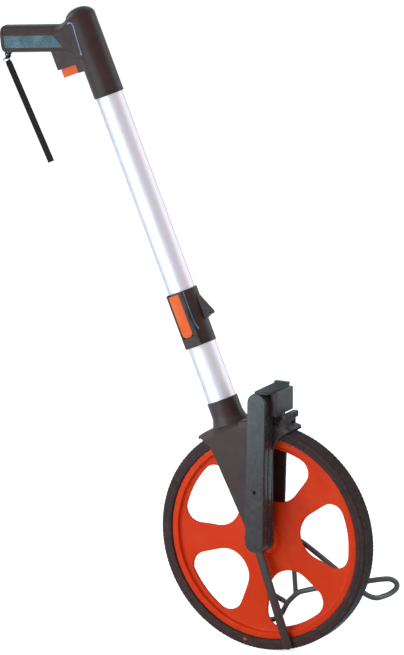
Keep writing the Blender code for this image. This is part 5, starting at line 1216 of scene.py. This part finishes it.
def make_stand():
    route = [Vector((STAND_SEAT, STAND_PLANE, 0))]
    for x, y, z in STAND_ROUTE:
        route.append(Vector((x * STAND_REACH, STAND_PLANE + y * STAND_REACH, z * STAND_REACH)))
    joins = [wire([smooth_route(route, 6)], STAND_WIRE + 0.0004, rounds=6)]
    for ends in STAND_BRACES:
        start, end = [(x * STAND_REACH, STAND_PLANE, z * STAND_REACH) for x, z in ends]
        joins.append(rod(start, end, STAND_WIRE, 28))
    middle = Matrix.Translation((0, STAND_PLANE - STAND_BUSH[-1][1] / 2, 0))
    bush = turned(STAND_BUSH, 64, middle @ TURN_TO_Y)
    stand = shaped(bush, joins, voxel=0.0006, smooth=1)
    stand_in("stand", stand, "coated", "stand", sharp=180)


# Counter and small pieces

def numeral(digit):
    """A raised numeral, bent round a counter wheel."""
    text = bpy.data.curves.new("numeral", "FONT")
    text.body = str(digit)
    text.size = DIGIT_HEIGHT
    text.align_x = text.align_y = "CENTER"
    text.extrude = 0.00008
    text.resolution_u = 3
    mesh = baked(placed("numeral", text))
    for vert in mesh.vertices:
        across, along, out = vert.co
        turn = DIGIT_TURN - along / DIGIT_RADIUS
        radius = DIGIT_RADIUS + out
        vert.co = (radius * cos(turn), -across, radius * sin(turn))
    return moved(mesh, Matrix.Rotation(-digit * radians(36), 4, "Y"))


def make_digits():
    """Ten numerals round each counter wheel, read through the window."""
    for index, body in enumerate(("counter_drive", "digit_2", "digit_3", "digit_4", "digit_5")):
        numerals = merged([numeral(digit) for digit in range(10)])
        middle = Vector((CASING_TOP[0], (index - 2) * DIGIT_PITCH, CASING_TOP[1]))
        show(f"numerals_{index + 1}", numerals, "ink", body, HUB @ Matrix.Translation(middle))


def make_small_pieces():
    """Copies of frame nodes with rounded edges, which stand for them."""
    for nodes, material, body, edge, angle in (
        (("pointer_arm",), "black", "frame", 0.0006, 35),
        (("counter_housing", "counter_side_cover", "visor"), "black", "frame", 0.0006, 40),
        (("reset_lever",), "black", "reset", 0.0004, 40),
        (("axle_nut", "stand_nut"), "steel", "frame", 0.0006, 35),
        (("strap_pin",), "steel", "handle", 0.0003, 35),
        (("reset_pin", "clamp_pin"), "steel", "frame", 0.0003, 35),
        (("neck_screw",), "steel", "frame", 0.0005, 35),
    ):
        for node in nodes:
            mesh = bevelled(frame["nodes"][node].data.copy(), edge, angle, 2)
            mesh.materials.clear()
            stand_in(node, mesh, material, body, Matrix.Identity(4))


def dress_rest():
    """Materials for the frame nodes that stay as they are."""
    kinds = {
        "steel": (
            "axle", "thrust_washer", "near_bearing", "far_bearing", "leg_screw_1", "leg_screw_2",
            "counter_shaft", "carry_shaft", "counter_screw_1", "counter_screw_2", "trigger_spring",
        ),
        "white": (
            "lower_pulley", "upper_pulley", "carry_pinions",
            *(f"digit_wheel_{index}" for index in range(1, 6)),
        ),
        "deep": ("drive_sleeve", "tube_plug"),
        "rubber": ("drive_belt", "clamp_pad"),
        "clear": ("counter_window",),
    }
    for material, nodes in kinds.items():
        for node in nodes:
            for slot in frame["nodes"][node].material_slots:
                slot.link = "OBJECT"
                slot.material = MATERIALS[material]


bpy.context.scene.view_settings.view_transform = "Standard"
view = set_camera()
set_world()
add_floor()
set_lights(*view)
make_materials()
make_tyre()
make_disc()
make_fork()
make_casing()
make_tube("lower_tube", "frame", LOWER_RADIUS, 0.0008, TUBE_FLOOR + GAP, LOWER_TOP)
make_tube("upper_tube", "handle", UPPER_RADIUS, 0.001, UPPER_FOOT, UPPER_TOP)
make_clamp()
make_clamp_lever()
make_handle()
make_handle_details()
make_strap()
make_stand()
make_digits()
make_small_pieces()
dress_rest()
